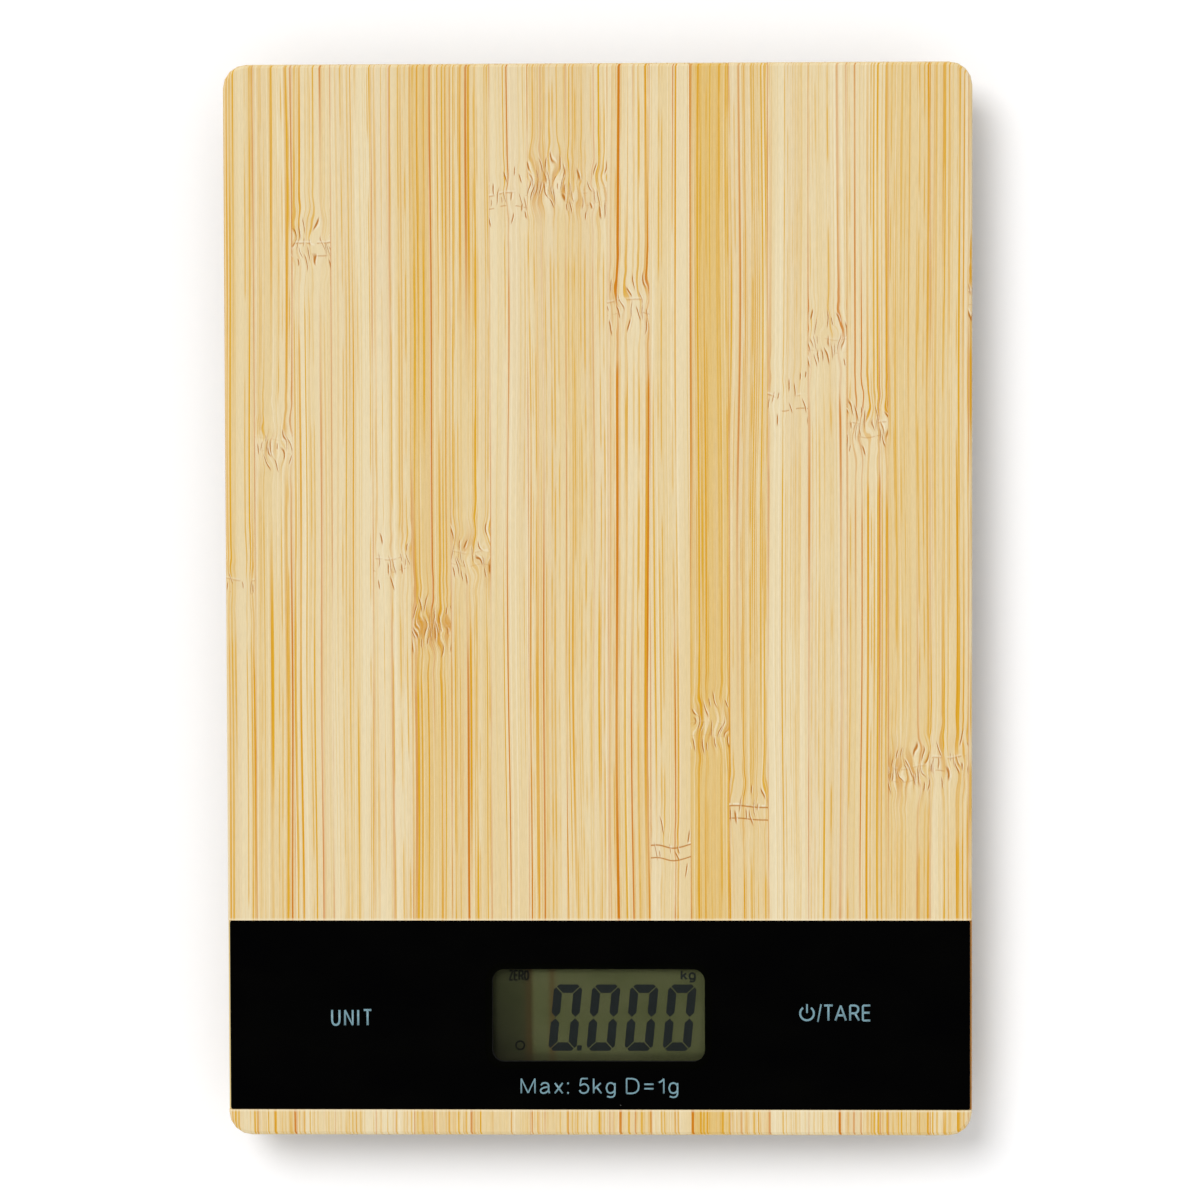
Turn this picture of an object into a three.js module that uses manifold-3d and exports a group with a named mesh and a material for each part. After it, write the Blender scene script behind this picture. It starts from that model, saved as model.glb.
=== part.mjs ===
// A slim battery kitchen scale, built as it comes apart on the bench.
// A laminated bamboo platform carries a glossy display panel let into a channel near its front edge.
// Under it hangs a moulded tray, and the scale stands on four feet, each pushing on its own load cell.
// Units are millimetres. +Z is up, and -Y is the front, where the display is. The origin is on the
// table, under the middle of the platform.

import * as THREE from "three";
import { mergeVertices } from "three/addons/utils/BufferGeometryUtils.js";
import Module from "manifold-3d";

// ---------- Driving dimensions ----------

// Platform
const BOARD_WIDTH = 160;
const BOARD_LENGTH = 230;
const BOARD_THICKNESS = 7;
const BOARD_CORNER_RADIUS = 5;
const BOARD_EDGE_BREAK = 0.8;

// Display panel and the channel that holds it
const PANEL_LENGTH = 39.6;
const PANEL_THICKNESS = 1;
const PANEL_CORNER_RADIUS = 0.5;
const PANEL_EDGE_BREAK = 0.12;
const PANEL_END_SETBACK = 0.55;
const PANEL_SIDE_GAP = 0.2;
const PANEL_SUNK = 0.2;
const FRONT_MARGIN = 6;
const TAPE_THICKNESS = 0.2;
const TAPE_SETBACK = 1;

// Display window and glass cell
const WINDOW_WIDTH = 46;
const WINDOW_LENGTH = 20;
const WINDOW_CORNER_RADIUS = 2.6;
const GLASS_WIDTH = 54;
const FRONT_GLASS_LENGTH = 27;
const REAR_GLASS_LENGTH = 22;
const GLASS_THICKNESS = 0.8;
const REFLECTOR_THICKNESS = 0.2;
const REFLECTOR_SETBACK = 0.5;
const STRIP_WIDTH = 1.8;
const STRIP_SETBACK = 2;

// Touch keys
const KEY_OFFSET = 52;
const KEY_BORE_RADIUS = 4.5;
const KEY_TUBE_WALL = 1.5;
const SPRING_WIRE_RADIUS = 0.3;
const SPRING_TURNS = 4;
const SPRING_TOP_RADIUS = 3;

// Display frame and circuit board
const LIP_THICKNESS = 0.5;
const LIP_SETBACK = 1;
const FRAME_LENGTH = 30;
const FRAME_END_MARGIN = 8;
const FRAME_WALL = 1.4;
const FRAME_TOP = 1.3;
const FRAME_CORNER_RADIUS = 3;
const FLANGE_WIDTH = 1.5;
const FLANGE_THICKNESS = 0.8;
const CIRCUIT_LENGTH = 28;
const CIRCUIT_END_MARGIN = 6;
const CIRCUIT_THICKNESS = 1.2;
const CIRCUIT_SUNK = 0.2;
const CIRCUIT_CORNER_RADIUS = 1;
const CIRCUIT_BOSS_RADIUS = 2.5;
const CIRCUIT_BOSS_GAP = 2.2;
const CIRCUIT_BOSS_EDGE_GAP = 1;
const CHIP_COVER_RADIUS = 6;
const CHIP_COVER_HEIGHT = 1.1;
const CHIP_GAP = 5;

// Tray
const GROUND_CLEARANCE = 3;
const TRAY_HEIGHT = 6.8;
const TRAY_MARGIN = 5;
const TRAY_WALL = 2;
const TRAY_FLOOR = 2;
const TRAY_CORNER_RADIUS = 9;
const TRAY_EDGE_BREAK = 1.6;
const TRAY_BOSS_RADIUS = 4.2;
const SEAM_GAP = 0.2;
const RIB_THICKNESS = 1.5;
const RIB_HEIGHT = 2.5;
const CROSS_RIB_HEIGHT = 2;
const RIB_OFFSET = 26;
const RIB_COUNT = 2;
const LABEL_WIDTH = 48;
const LABEL_LENGTH = 26;
const LABEL_DEPTH = 0.3;
const LABEL_CORNER_RADIUS = 2;
const LABEL_GAP = 22;

// Feet
const FOOT_RADIUS = 10.5;
const FOOT_GAP = 1;
const FOOT_TRAVEL = 0.3;
const FOOT_EDGE = 0.4;
const COLLAR_WIDTH = 2.5;
const COLLAR_HEIGHT = 0.6;
const PAD_RADIUS = 9;
const PAD_HEIGHT = 2.3;
const PAD_PROUD = 1.4;
const PAD_GROOVE_RADIUS = 6;
const PAD_GROOVE_WIDTH = 1.2;
const PAD_GROOVE_DEPTH = 0.6;
const CUP_HEIGHT = 3.5;
const CUP_CONE_RADIUS = 4.5;
const PIN_RADIUS = 1.5;
const PIN_HEAD_RADIUS = 3;
const PIN_HEAD_HEIGHT = 0.8;

// Load cells and their holders
const CELL_SIZE = 30;
const CELL_THICKNESS = 1;
const CELL_LIFT = 1.7;
const CELL_FRAME_WIDTH = 3.5;
const CELL_CORNER_RADIUS = 4;
const CELL_SLOT_WIDTH = 5;
const CELL_NECK_WIDTH = 8;
const GAUGE_WIDTH = 6.5;
const GAUGE_LENGTH = 3.4;
const GAUGE_HEIGHT = 0.6;
const HOLDER_WALL = 2.2;
const HOLDER_LIP = 0.5;
const HOLDER_CORNER_RADIUS = 5;
const HOLDER_WALL_GAP = 1.5;
const CLIP_LENGTH = 6;
const CLIP_REACH = 0.9;
const CLIP_THICKNESS = 0.4;

// Coin cell, its bay and its door
const BAY_Y = 18;
const COIN_RADIUS = 10;
const COIN_HEIGHT = 3.2;
const COIN_EDGE = 0.25;
const COIN_STEP = 0.45;
const COIN_RIM = 1;
const DOOR_LIP = 0.75;
const DOOR_THICKNESS = 1.4;
const DOOR_EDGE = 0.2;
const DOOR_TURN = 45;
const DOOR_RING_WALL = 0.75;
const LUG_COUNT = 3;
const LUG_ANGLE = 26;
const LUG_REACH = 1.5;
const LUG_THICKNESS = 0.75;
const LUG_ENTRY_GAP = 3;
const LUG_STOP_GAP = 2;
const LEDGE_THICKNESS = 0.95;
const BAY_WALL = 2;
const BAY_ROOF = 0.8;
const COIN_SLOT_LENGTH = 16;
const COIN_SLOT_WIDTH = 2.2;
const COIN_SLOT_DEPTH = 0.85;
const CONTACT_THICKNESS = 0.25;
const CONTACT_WIDTH = 4;
const CONTACT_TAIL = 0.6;
const LEAF_LENGTH = 14;

// Screws and leads
const TRAY_SCREW = { radius: 1.5, length: 9, headRadius: 2.7, headHeight: 1.7 };
const TRAY_SCREW_GAP = 12.3;
const TRAY_SCREW_INSET = 8;
const TRAY_SCREW_SINK = 2.2;
const CIRCUIT_SCREW = { radius: 0.85, length: 3.6, headRadius: 1.7, headHeight: 1.1 };
const PILOT_GAP = 0.15;
const SHANK_GAP = 0.3;
const HEAD_GAP = 0.4;
const LEAD_RADIUS = 0.6;
const BATTERY_LEAD_RADIUS = 0.4;
const LEAD_LIFT = 0.8;

// Clearances: between faces that rest on each other, where a hand or a bayonet turns one piece in
// another, and where one piece drops into another
const FACE_GAP = 0.05;
const TURN_GAP = 0.1;
const SLIP_GAP = 0.3;

// Segments of a quarter corner, a circle, a foot, a small hole and a broken edge, and how far a
// cutting shape runs past the face it cuts
const CORNER_STEPS = 4;
const CIRCLE_STEPS = 24;
const FOOT_STEPS = 16;
const HOLE_STEPS = 12;
const EDGE_STEPS = 2;
const CUT = 1;

// ---------- Heights and places worked out from them ----------

const TRAY_BOTTOM = GROUND_CLEARANCE;
const TRAY_INSIDE = TRAY_BOTTOM + TRAY_FLOOR;
const TRAY_TOP = TRAY_BOTTOM + TRAY_HEIGHT;
const BOARD_BOTTOM = TRAY_TOP + SEAM_GAP;
const BOARD_TOP = BOARD_BOTTOM + BOARD_THICKNESS;
const PANEL_TOP = BOARD_TOP - PANEL_SUNK;
const PANEL_BOTTOM = PANEL_TOP - PANEL_THICKNESS;
const TAPE_TOP = PANEL_BOTTOM - FACE_GAP;
const TAPE_BOTTOM = TAPE_TOP - TAPE_THICKNESS;
const CHANNEL_FLOOR = TAPE_BOTTOM - FACE_GAP;
const CHANNEL_LENGTH = PANEL_LENGTH + 2 * PANEL_SIDE_GAP;
const PANEL_Y = FRONT_MARGIN + CHANNEL_LENGTH / 2 - BOARD_LENGTH / 2;
const GLASS_TOP = CHANNEL_FLOOR - LIP_THICKNESS - FACE_GAP;
const REAR_GLASS_TOP = GLASS_TOP - GLASS_THICKNESS - FACE_GAP;
const REFLECTOR_TOP = REAR_GLASS_TOP - GLASS_THICKNESS - FACE_GAP;
const CIRCUIT_BOTTOM = BOARD_BOTTOM + CIRCUIT_SUNK;
const CIRCUIT_TOP = CIRCUIT_BOTTOM + CIRCUIT_THICKNESS;
const STRIP_BOTTOM = CIRCUIT_TOP + FACE_GAP;
const STRIP_TOP = REAR_GLASS_TOP - FACE_GAP;
const CIRCUIT_WIDTH = 2 * (KEY_OFFSET + CIRCUIT_END_MARGIN);
const CIRCUIT_SCREW_X = GLASS_WIDTH / 2 + SLIP_GAP + CIRCUIT_BOSS_GAP + CIRCUIT_BOSS_RADIUS;
const CIRCUIT_SCREW_Y = CIRCUIT_LENGTH / 2 - CIRCUIT_BOSS_EDGE_GAP - CIRCUIT_BOSS_RADIUS;
const CHIP_X = GLASS_WIDTH / 2 + CHIP_GAP + CHIP_COVER_RADIUS;
const FRAME_BOTTOM = CIRCUIT_TOP + FACE_GAP;
const FRAME_WIDTH = 2 * (KEY_OFFSET + FRAME_END_MARGIN);

const TRAY_WIDTH = BOARD_WIDTH - 2 * TRAY_MARGIN;
const TRAY_LENGTH = BOARD_LENGTH - 2 * TRAY_MARGIN;
const TRAY_BACK = TRAY_LENGTH / 2 - TRAY_WALL;
const TRAY_SCREW_SEAT = TRAY_BOTTOM + TRAY_SCREW_SINK - FACE_GAP;
const HOLDER_SIZE = CELL_SIZE + 2 * SLIP_GAP + 2 * HOLDER_WALL;
const FOOT_INSET = TRAY_WALL + HOLDER_WALL_GAP + HOLDER_SIZE / 2;
const FOOT_X = TRAY_WIDTH / 2 - FOOT_INSET;
const FOOT_Y = TRAY_LENGTH / 2 - FOOT_INSET;
const TRAY_SCREW_ROW = FOOT_Y - HOLDER_SIZE / 2 - TRAY_SCREW_GAP - TRAY_BOSS_RADIUS;
const FOOT_HOLE_RADIUS = FOOT_RADIUS + FOOT_GAP;
const CUP_TOP = PAD_PROUD + CUP_HEIGHT;
const CELL_BOTTOM = CUP_TOP + CELL_LIFT;
const CELL_TOP = CELL_BOTTOM + CELL_THICKNESS;
const CELL_OPENING = CELL_SIZE - 2 * CELL_FRAME_WIDTH;
const CELL_PAD_SIZE = CELL_OPENING - 2 * CELL_SLOT_WIDTH;
const HOLDER_OPENING = CELL_OPENING - 2 * HOLDER_LIP;
const HOLDER_BOTTOM = CELL_BOTTOM - SLIP_GAP - CLIP_THICKNESS;
const HOLDER_TOP = BOARD_BOTTOM - 2 * FACE_GAP;
const LEAD_HEIGHT = CELL_TOP + SLIP_GAP + LEAD_RADIUS;
const LEAD_TOP = CIRCUIT_BOTTOM - SLIP_GAP - LEAD_RADIUS / 2;

const CHAMBER_RADIUS = COIN_RADIUS + 2 * SLIP_GAP;
const RING_INNER_RADIUS = COIN_RADIUS + SLIP_GAP;
const RING_OUTER_RADIUS = RING_INNER_RADIUS + DOOR_RING_WALL;
const LEDGE_RADIUS = RING_OUTER_RADIUS + SLIP_GAP;
const LUG_RADIUS = RING_OUTER_RADIUS + LUG_REACH;
const DOOR_RADIUS = LUG_RADIUS + DOOR_LIP;
const DOOR_HOLE_RADIUS = DOOR_RADIUS + SLIP_GAP;
const DOOR_BOTTOM = TRAY_BOTTOM + FACE_GAP;
const DOOR_TOP = DOOR_BOTTOM + DOOR_THICKNESS;
const LEDGE_BOTTOM = DOOR_TOP + TURN_GAP;
const LEDGE_TOP = LEDGE_BOTTOM + LEDGE_THICKNESS;
const LUG_BOTTOM = LEDGE_TOP + TURN_GAP;
const LUG_TOP = LUG_BOTTOM + LUG_THICKNESS;
const LUG_SPACING = 360 / LUG_COUNT;
const NOTCH_ANGLE = LUG_ANGLE + 2 * LUG_ENTRY_GAP;
const RACE_RADIUS = LUG_RADIUS + SLIP_GAP;
const NOTCH_RADIUS = RACE_RADIUS + TURN_GAP;
const RACE_TOP = LUG_TOP + 2 * TURN_GAP;
const BAY_RADIUS = DOOR_HOLE_RADIUS + BAY_WALL;
const COIN_BOTTOM = DOOR_TOP + 2 * FACE_GAP;
const COIN_TOP = COIN_BOTTOM + COIN_HEIGHT;
const LEAF_BOTTOM = COIN_TOP + 2 * FACE_GAP;
const LEAF_TOP = LEAF_BOTTOM + CONTACT_THICKNESS;
const BAY_ROOF_BOTTOM = LEAF_TOP + 2 * FACE_GAP;
const BAY_ROOF_TOP = BAY_ROOF_BOTTOM + BAY_ROOF;
const CONTACT_TIP = BAY_ROOF_TOP + CONTACT_TAIL;
const BLADE_X = COIN_RADIUS + CONTACT_THICKNESS;
const TAIL_Y = CONTACT_THICKNESS / 2 - LEAF_LENGTH / 2;

const SIDES = [-1, 1];
const CORNERS = [
  { place: "front_left", side: -1, end: -1 },
  { place: "front_right", side: 1, end: -1 },
  { place: "back_left", side: -1, end: 1 },
  { place: "back_right", side: 1, end: 1 },
];

function trayScrewPlaces() {
  const x = TRAY_WIDTH / 2 - TRAY_SCREW_INSET;
  return [-TRAY_SCREW_ROW, 0, TRAY_SCREW_ROW].flatMap((y) => SIDES.map((side) => [side * x, y]));
}

function circuitScrewPlaces() {
  return SIDES.flatMap((side) =>
    SIDES.map((end) => [side * CIRCUIT_SCREW_X, PANEL_Y + end * CIRCUIT_SCREW_Y]),
  );
}

function footPlaces() {
  return CORNERS.map(({ side, end }) => [side * FOOT_X, end * FOOT_Y]);
}

function keyPlaces() {
  return SIDES.map((side) => [side * KEY_OFFSET, PANEL_Y]);
}

// ---------- Solid helpers ----------

const wasm = await Module();
wasm.setup();

// A closed three.js geometry as a solid that can be joined and cut.
function solid(geometry) {
  const bare = geometry.index ? geometry.toNonIndexed() : geometry.clone();
  for (const name of Object.keys(bare.attributes)) {
    if (name !== "position") bare.deleteAttribute(name);
  }
  const merged = mergeVertices(bare, 1e-4);
  const mesh = new wasm.Mesh({
    numProp: 3,
    vertProperties: merged.attributes.position.array,
    triVerts: new Uint32Array(merged.index.array),
  });
  return new wasm.Manifold(mesh);
}

// The solid's surface as a three.js geometry.
function surface(body) {
  const mesh = body.getMesh();
  const geometry = new THREE.BufferGeometry();
  geometry.setAttribute("position", new THREE.BufferAttribute(new Float32Array(mesh.vertProperties), 3));
  geometry.setIndex(new THREE.BufferAttribute(mesh.triVerts, 1));
  geometry.computeVertexNormals();
  return geometry;
}

function join(...bodies) {
  return bodies.reduce((whole, body) => whole.add(body));
}

function cut(body, ...tools) {
  return tools.reduce((left, tool) => left.subtract(tool), body);
}

// A rectangle with round corners, in the XY plane.
function roundedRectangle(width, length, radius, x = 0, y = 0) {
  const [left, right] = [x - width / 2 + radius, x + width / 2 - radius];
  const [front, back] = [y - length / 2 + radius, y + length / 2 - radius];
  const shape = new THREE.Shape();
  shape.absarc(right, back, radius, 0, Math.PI / 2);
  shape.absarc(left, back, radius, Math.PI / 2, Math.PI);
  shape.absarc(left, front, radius, Math.PI, 1.5 * Math.PI);
  shape.absarc(right, front, radius, 1.5 * Math.PI, 2 * Math.PI);
  return shape;
}

// An outline raised between two heights, with its top and bottom edges broken by `edge`.
// An arc is drawn in twice as many segments as curveSegments says.
function plate(shape, bottom, top, edge = 0) {
  const geometry = new THREE.ExtrudeGeometry(shape, {
    depth: top - bottom - 2 * edge,
    curveSegments: CORNER_STEPS / 2,
    bevelEnabled: edge > 0,
    bevelThickness: edge,
    bevelSize: edge,
    bevelOffset: -edge,
    bevelSegments: EDGE_STEPS,
  });
  geometry.translate(0, 0, bottom + edge);
  return solid(geometry);
}

function block(width, length, bottom, top, x = 0, y = 0) {
  const geometry = new THREE.BoxGeometry(width, length, top - bottom);
  geometry.translate(x, y, (bottom + top) / 2);
  return solid(geometry);
}

function disc(radius, bottom, top, x = 0, y = 0, steps = CIRCLE_STEPS) {
  const geometry = new THREE.CylinderGeometry(radius, radius, top - bottom, steps);
  geometry.rotateX(Math.PI / 2);
  geometry.translate(x, y, (bottom + top) / 2);
  return solid(geometry);
}

// The same disc at each place: drillings, bosses or tubes.
function discs(places, radius, bottom, top, steps = HOLE_STEPS) {
  return places.map(([x, y]) => disc(radius, bottom, top, x, y, steps));
}

// A piece of a ring, its middle at `angle` degrees from +X.
function ringSector(inner, outer, bottom, top, angle, span) {
  const start = THREE.MathUtils.degToRad(angle - span / 2);
  const end = THREE.MathUtils.degToRad(angle + span / 2);
  const shape = new THREE.Shape();
  shape.absarc(0, 0, outer, start, end);
  shape.absarc(0, 0, inner, end, start, true);
  return plate(shape, bottom, top);
}

// A solid of revolution about Z, from (radius, height) corners that start and end on the axis.
function turned(profile, steps = CIRCLE_STEPS) {
  const points = profile.map(([radius, height]) => new THREE.Vector2(radius, height));
  const geometry = new THREE.LatheGeometry(points, steps);
  geometry.rotateX(Math.PI / 2);
  return geometry;
}

// A round rod of an even number of sides along a smooth curve through the given points.
function rod(points, radius, steps, sides = 6) {
  const section = new THREE.Shape().absarc(0, 0, radius, 0, 2 * Math.PI);
  const path = new THREE.CatmullRomCurve3(points.map((point) => new THREE.Vector3(...point)));
  return new THREE.ExtrudeGeometry(section, { steps, curveSegments: sides / 2, extrudePath: path });
}

// ---------- Finishes ----------

function finish(color, roughness, metalness = 0) {
  return new THREE.MeshStandardMaterial({ color, roughness, metalness });
}

const bamboo = finish(0xe6cf9c, 0.5);
const smokedAcrylic = finish(0x050505, 0.06);
const blackTape = finish(0x0a0a0a, 0.8);
const displayGlass = finish(0x6f7558, 0.2);
const reflectorFoil = finish(0x9aa083, 0.35);
const blackPlastic = finish(0x17181a, 0.55);
const whitePlastic = finish(0xdcdcd6, 0.5);
const conductiveRubber = finish(0x3a3a3a, 0.85);
const circuitLaminate = finish(0x1f5a34, 0.45);
const epoxy = finish(0x101012, 0.3);
const springSteel = finish(0xb9babd, 0.3, 1);
const cellSteel = finish(0x9fa3a8, 0.38, 1);
const nickel = finish(0xc8c6c0, 0.25, 1);
const gaugeSealant = finish(0xe9e6df, 0.5);
const footRubber = finish(0x2b2c2e, 0.85);
const redSleeve = finish(0xb02a22, 0.5);
const blackSleeve = finish(0x161616, 0.5);

function piece(name, geometry, material) {
  const mesh = new THREE.Mesh(geometry, material);
  mesh.name = name;
  return mesh;
}

// ---------- Platform and display panel ----------

// The bamboo board, with the panel's channel across its whole width, the pocket for the display
// unit under it and the pilot holes of the tray's screws.
function bambooBoard() {
  const outline = roundedRectangle(BOARD_WIDTH, BOARD_LENGTH, BOARD_CORNER_RADIUS);
  const board = plate(outline, BOARD_BOTTOM, BOARD_TOP, BOARD_EDGE_BREAK);
  const channel = block(BOARD_WIDTH + CUT, CHANNEL_LENGTH, CHANNEL_FLOOR, BOARD_TOP + CUT, 0, PANEL_Y);
  const width = FRAME_WIDTH + 2 * SLIP_GAP;
  const length = FRAME_LENGTH + 2 * SLIP_GAP;
  const pocket = plate(
    roundedRectangle(width, length, FRAME_CORNER_RADIUS, 0, PANEL_Y),
    BOARD_BOTTOM - CUT,
    CHANNEL_FLOOR + CUT,
  );
  const rebate = plate(
    roundedRectangle(width + 2 * FLANGE_WIDTH, length + 2 * FLANGE_WIDTH, FRAME_CORNER_RADIUS, 0, PANEL_Y),
    CHANNEL_FLOOR - FLANGE_THICKNESS - FACE_GAP,
    CHANNEL_FLOOR + CUT,
  );
  const pilotTop = TRAY_SCREW_SEAT + TRAY_SCREW.length + SLIP_GAP;
  const pilots = discs(trayScrewPlaces(), TRAY_SCREW.radius + PILOT_GAP, BOARD_BOTTOM - CUT, pilotTop);
  return surface(cut(board, channel, pocket, rebate, ...pilots));
}

function displayPanel() {
  const width = BOARD_WIDTH - 2 * PANEL_END_SETBACK;
  const outline = roundedRectangle(width, PANEL_LENGTH, PANEL_CORNER_RADIUS, 0, PANEL_Y);
  return surface(plate(outline, PANEL_BOTTOM, PANEL_TOP, PANEL_EDGE_BREAK));
}

// Die-cut adhesive sheet under the panel, open at the display window and over both touch springs.
function panelTape() {
  const width = BOARD_WIDTH - 2 * PANEL_END_SETBACK - 2 * TAPE_SETBACK;
  const length = PANEL_LENGTH - 2 * TAPE_SETBACK;
  const outline = roundedRectangle(width, length, PANEL_CORNER_RADIUS, 0, PANEL_Y);
  const sheet = plate(outline, TAPE_BOTTOM, TAPE_TOP);
  const window = roundedRectangle(WINDOW_WIDTH, WINDOW_LENGTH, WINDOW_CORNER_RADIUS, 0, PANEL_Y);
  const opening = plate(window, TAPE_BOTTOM - CUT, TAPE_TOP + CUT);
  const keys = discs(keyPlaces(), KEY_BORE_RADIUS, TAPE_BOTTOM - CUT, TAPE_TOP + CUT, CIRCLE_STEPS);
  return surface(cut(sheet, opening, ...keys));
}

// ---------- Display unit ----------

// The liquid-crystal cell is two sheets of glass. The front one is longer and leaves a ledge at
// each end for the contacts.
function glass(length, top) {
  return surface(block(GLASS_WIDTH, length, top - GLASS_THICKNESS, top, 0, PANEL_Y));
}

function reflector() {
  const width = GLASS_WIDTH - 2 * REFLECTOR_SETBACK;
  const length = REAR_GLASS_LENGTH - 2 * REFLECTOR_SETBACK;
  return surface(block(width, length, REFLECTOR_TOP - REFLECTOR_THICKNESS, REFLECTOR_TOP, 0, PANEL_Y));
}

// One conductive rubber strip, between the circuit board and the front glass's contact ledge.
function contactStrip(end) {
  const ledge = (FRONT_GLASS_LENGTH + REAR_GLASS_LENGTH) / 4;
  const width = GLASS_WIDTH - 2 * STRIP_SETBACK;
  return surface(block(width, STRIP_WIDTH, STRIP_BOTTOM, STRIP_TOP, 0, PANEL_Y + end * ledge));
}

// The moulded frame that drops into the board's pocket: a flanged top with a box for the glass,
// a tube round each touch spring and four bosses for the circuit board's screws.
function displayFrame() {
  const flangeBottom = CHANNEL_FLOOR - FLANGE_THICKNESS;
  const body = plate(
    roundedRectangle(FRAME_WIDTH, FRAME_LENGTH, FRAME_CORNER_RADIUS, 0, PANEL_Y),
    FRAME_BOTTOM,
    CHANNEL_FLOOR,
  );
  const flangeWidth = FRAME_WIDTH + 2 * FLANGE_WIDTH;
  const flangeLength = FRAME_LENGTH + 2 * FLANGE_WIDTH;
  const flange = plate(
    roundedRectangle(flangeWidth, flangeLength, FRAME_CORNER_RADIUS, 0, PANEL_Y),
    flangeBottom,
    CHANNEL_FLOOR,
  );
  const boxWidth = GLASS_WIDTH + 2 * SLIP_GAP;
  const boxLength = FRONT_GLASS_LENGTH + 2 * SLIP_GAP;
  const glassBox = block(boxWidth, boxLength, FRAME_BOTTOM - CUT, CHANNEL_FLOOR - LIP_THICKNESS, 0, PANEL_Y);
  const sightWidth = WINDOW_WIDTH + 2 * LIP_SETBACK;
  const sightLength = WINDOW_LENGTH + 2 * LIP_SETBACK;
  const sight = plate(
    roundedRectangle(sightWidth, sightLength, WINDOW_CORNER_RADIUS, 0, PANEL_Y),
    FRAME_BOTTOM,
    CHANNEL_FLOOR + CUT,
  );
  const sideInner = boxWidth / 2 + FRAME_WALL;
  const sideOuter = FRAME_WIDTH / 2 - FRAME_WALL;
  const sideRooms = SIDES.map((side) =>
    block(
      sideOuter - sideInner,
      FRAME_LENGTH - 2 * FRAME_WALL,
      FRAME_BOTTOM - CUT,
      CHANNEL_FLOOR - FRAME_TOP,
      (side * (sideInner + sideOuter)) / 2,
      PANEL_Y,
    ),
  );
  const shell = cut(join(body, flange), glassBox, sight, ...sideRooms);

  const tubeRadius = KEY_BORE_RADIUS + KEY_TUBE_WALL;
  const tubes = discs(keyPlaces(), tubeRadius, FRAME_BOTTOM, CHANNEL_FLOOR, CIRCLE_STEPS);
  const bores = discs(keyPlaces(), KEY_BORE_RADIUS, FRAME_BOTTOM - CUT, CHANNEL_FLOOR + CUT, CIRCLE_STEPS);
  const bosses = discs(circuitScrewPlaces(), CIRCUIT_BOSS_RADIUS, FRAME_BOTTOM, CHANNEL_FLOOR);
  const pilotTop = CIRCUIT_BOTTOM + CIRCUIT_SCREW.length + SLIP_GAP;
  const pilotRadius = CIRCUIT_SCREW.radius + PILOT_GAP;
  const pilots = discs(circuitScrewPlaces(), pilotRadius, FRAME_BOTTOM - CUT, pilotTop);
  return surface(cut(join(shell, ...tubes, ...bosses), ...bores, ...pilots));
}

function circuitBoard() {
  const outline = roundedRectangle(CIRCUIT_WIDTH, CIRCUIT_LENGTH, CIRCUIT_CORNER_RADIUS, 0, PANEL_Y);
  const sheet = plate(outline, CIRCUIT_BOTTOM, CIRCUIT_TOP);
  const radius = CIRCUIT_SCREW.radius + SHANK_GAP;
  const holes = discs(circuitScrewPlaces(), radius, CIRCUIT_BOTTOM - CUT, CIRCUIT_TOP + CUT);
  return surface(cut(sheet, ...holes));
}

// The drop of epoxy over the bare controller chip, beside the display.
function chipCover() {
  const bottom = CIRCUIT_TOP + FACE_GAP;
  const dome = new THREE.SphereGeometry(CHIP_COVER_RADIUS, HOLE_STEPS, HOLE_STEPS / 2);
  dome.rotateX(Math.PI / 2);
  dome.scale(1, 1, CHIP_COVER_HEIGHT / CHIP_COVER_RADIUS);
  dome.translate(CHIP_X, PANEL_Y, bottom);
  const side = 3 * CHIP_COVER_RADIUS;
  const under = block(side, side, bottom - 2 * CHIP_COVER_HEIGHT, bottom, CHIP_X, PANEL_Y);
  return surface(cut(solid(dome), under));
}

// A coil spring that carries a touch key's signal from the circuit board to the panel's back.
// It narrows a little towards the panel.
function touchSpring() {
  const bottom = CIRCUIT_TOP + SPRING_WIRE_RADIUS + FACE_GAP;
  const top = PANEL_BOTTOM - SPRING_WIRE_RADIUS - 2 * FACE_GAP;
  const bottomRadius = KEY_BORE_RADIUS - SPRING_WIRE_RADIUS - SLIP_GAP;
  const stepsPerTurn = 10;
  const count = SPRING_TURNS * stepsPerTurn;
  const points = [];
  for (let step = 0; step <= count; step += 1) {
    const share = step / count;
    const angle = (2 * Math.PI * step) / stepsPerTurn;
    const radius = bottomRadius + (SPRING_TOP_RADIUS - bottomRadius) * share;
    points.push([radius * Math.cos(angle), radius * Math.sin(angle), bottom + (top - bottom) * share]);
  }
  return rod(points, SPRING_WIRE_RADIUS, count);
}

// ---------- Screws ----------

// A pan-head screw pointing up, its head's seat at the given height, with a cross recess underneath.
function screw({ radius, length, headRadius, headHeight }, seat) {
  const bottom = seat - headHeight;
  const body = turned(
    [
      [0, bottom],
      [headRadius - headHeight / 3, bottom],
      [headRadius, bottom + headHeight / 3],
      [headRadius, seat],
      [radius, seat],
      [radius, seat + length - radius],
      [radius / 3, seat + length],
      [0, seat + length],
    ],
    HOLE_STEPS,
  );
  const recessTop = bottom + headHeight / 2;
  const recessLength = 1.25 * headRadius;
  const recessWidth = 0.3 * headRadius;
  const across = block(recessLength, recessWidth, bottom - CUT, recessTop);
  const along = block(recessWidth, recessLength, bottom - CUT, recessTop);
  return surface(cut(solid(body), across, along));
}

// ---------- Tray and battery bay ----------

// Angles of the middle of each lug's entry notch, round the bay.
const NOTCH_ANGLES = Array.from({ length: LUG_COUNT }, (_, index) => 90 + index * LUG_SPACING);

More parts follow.
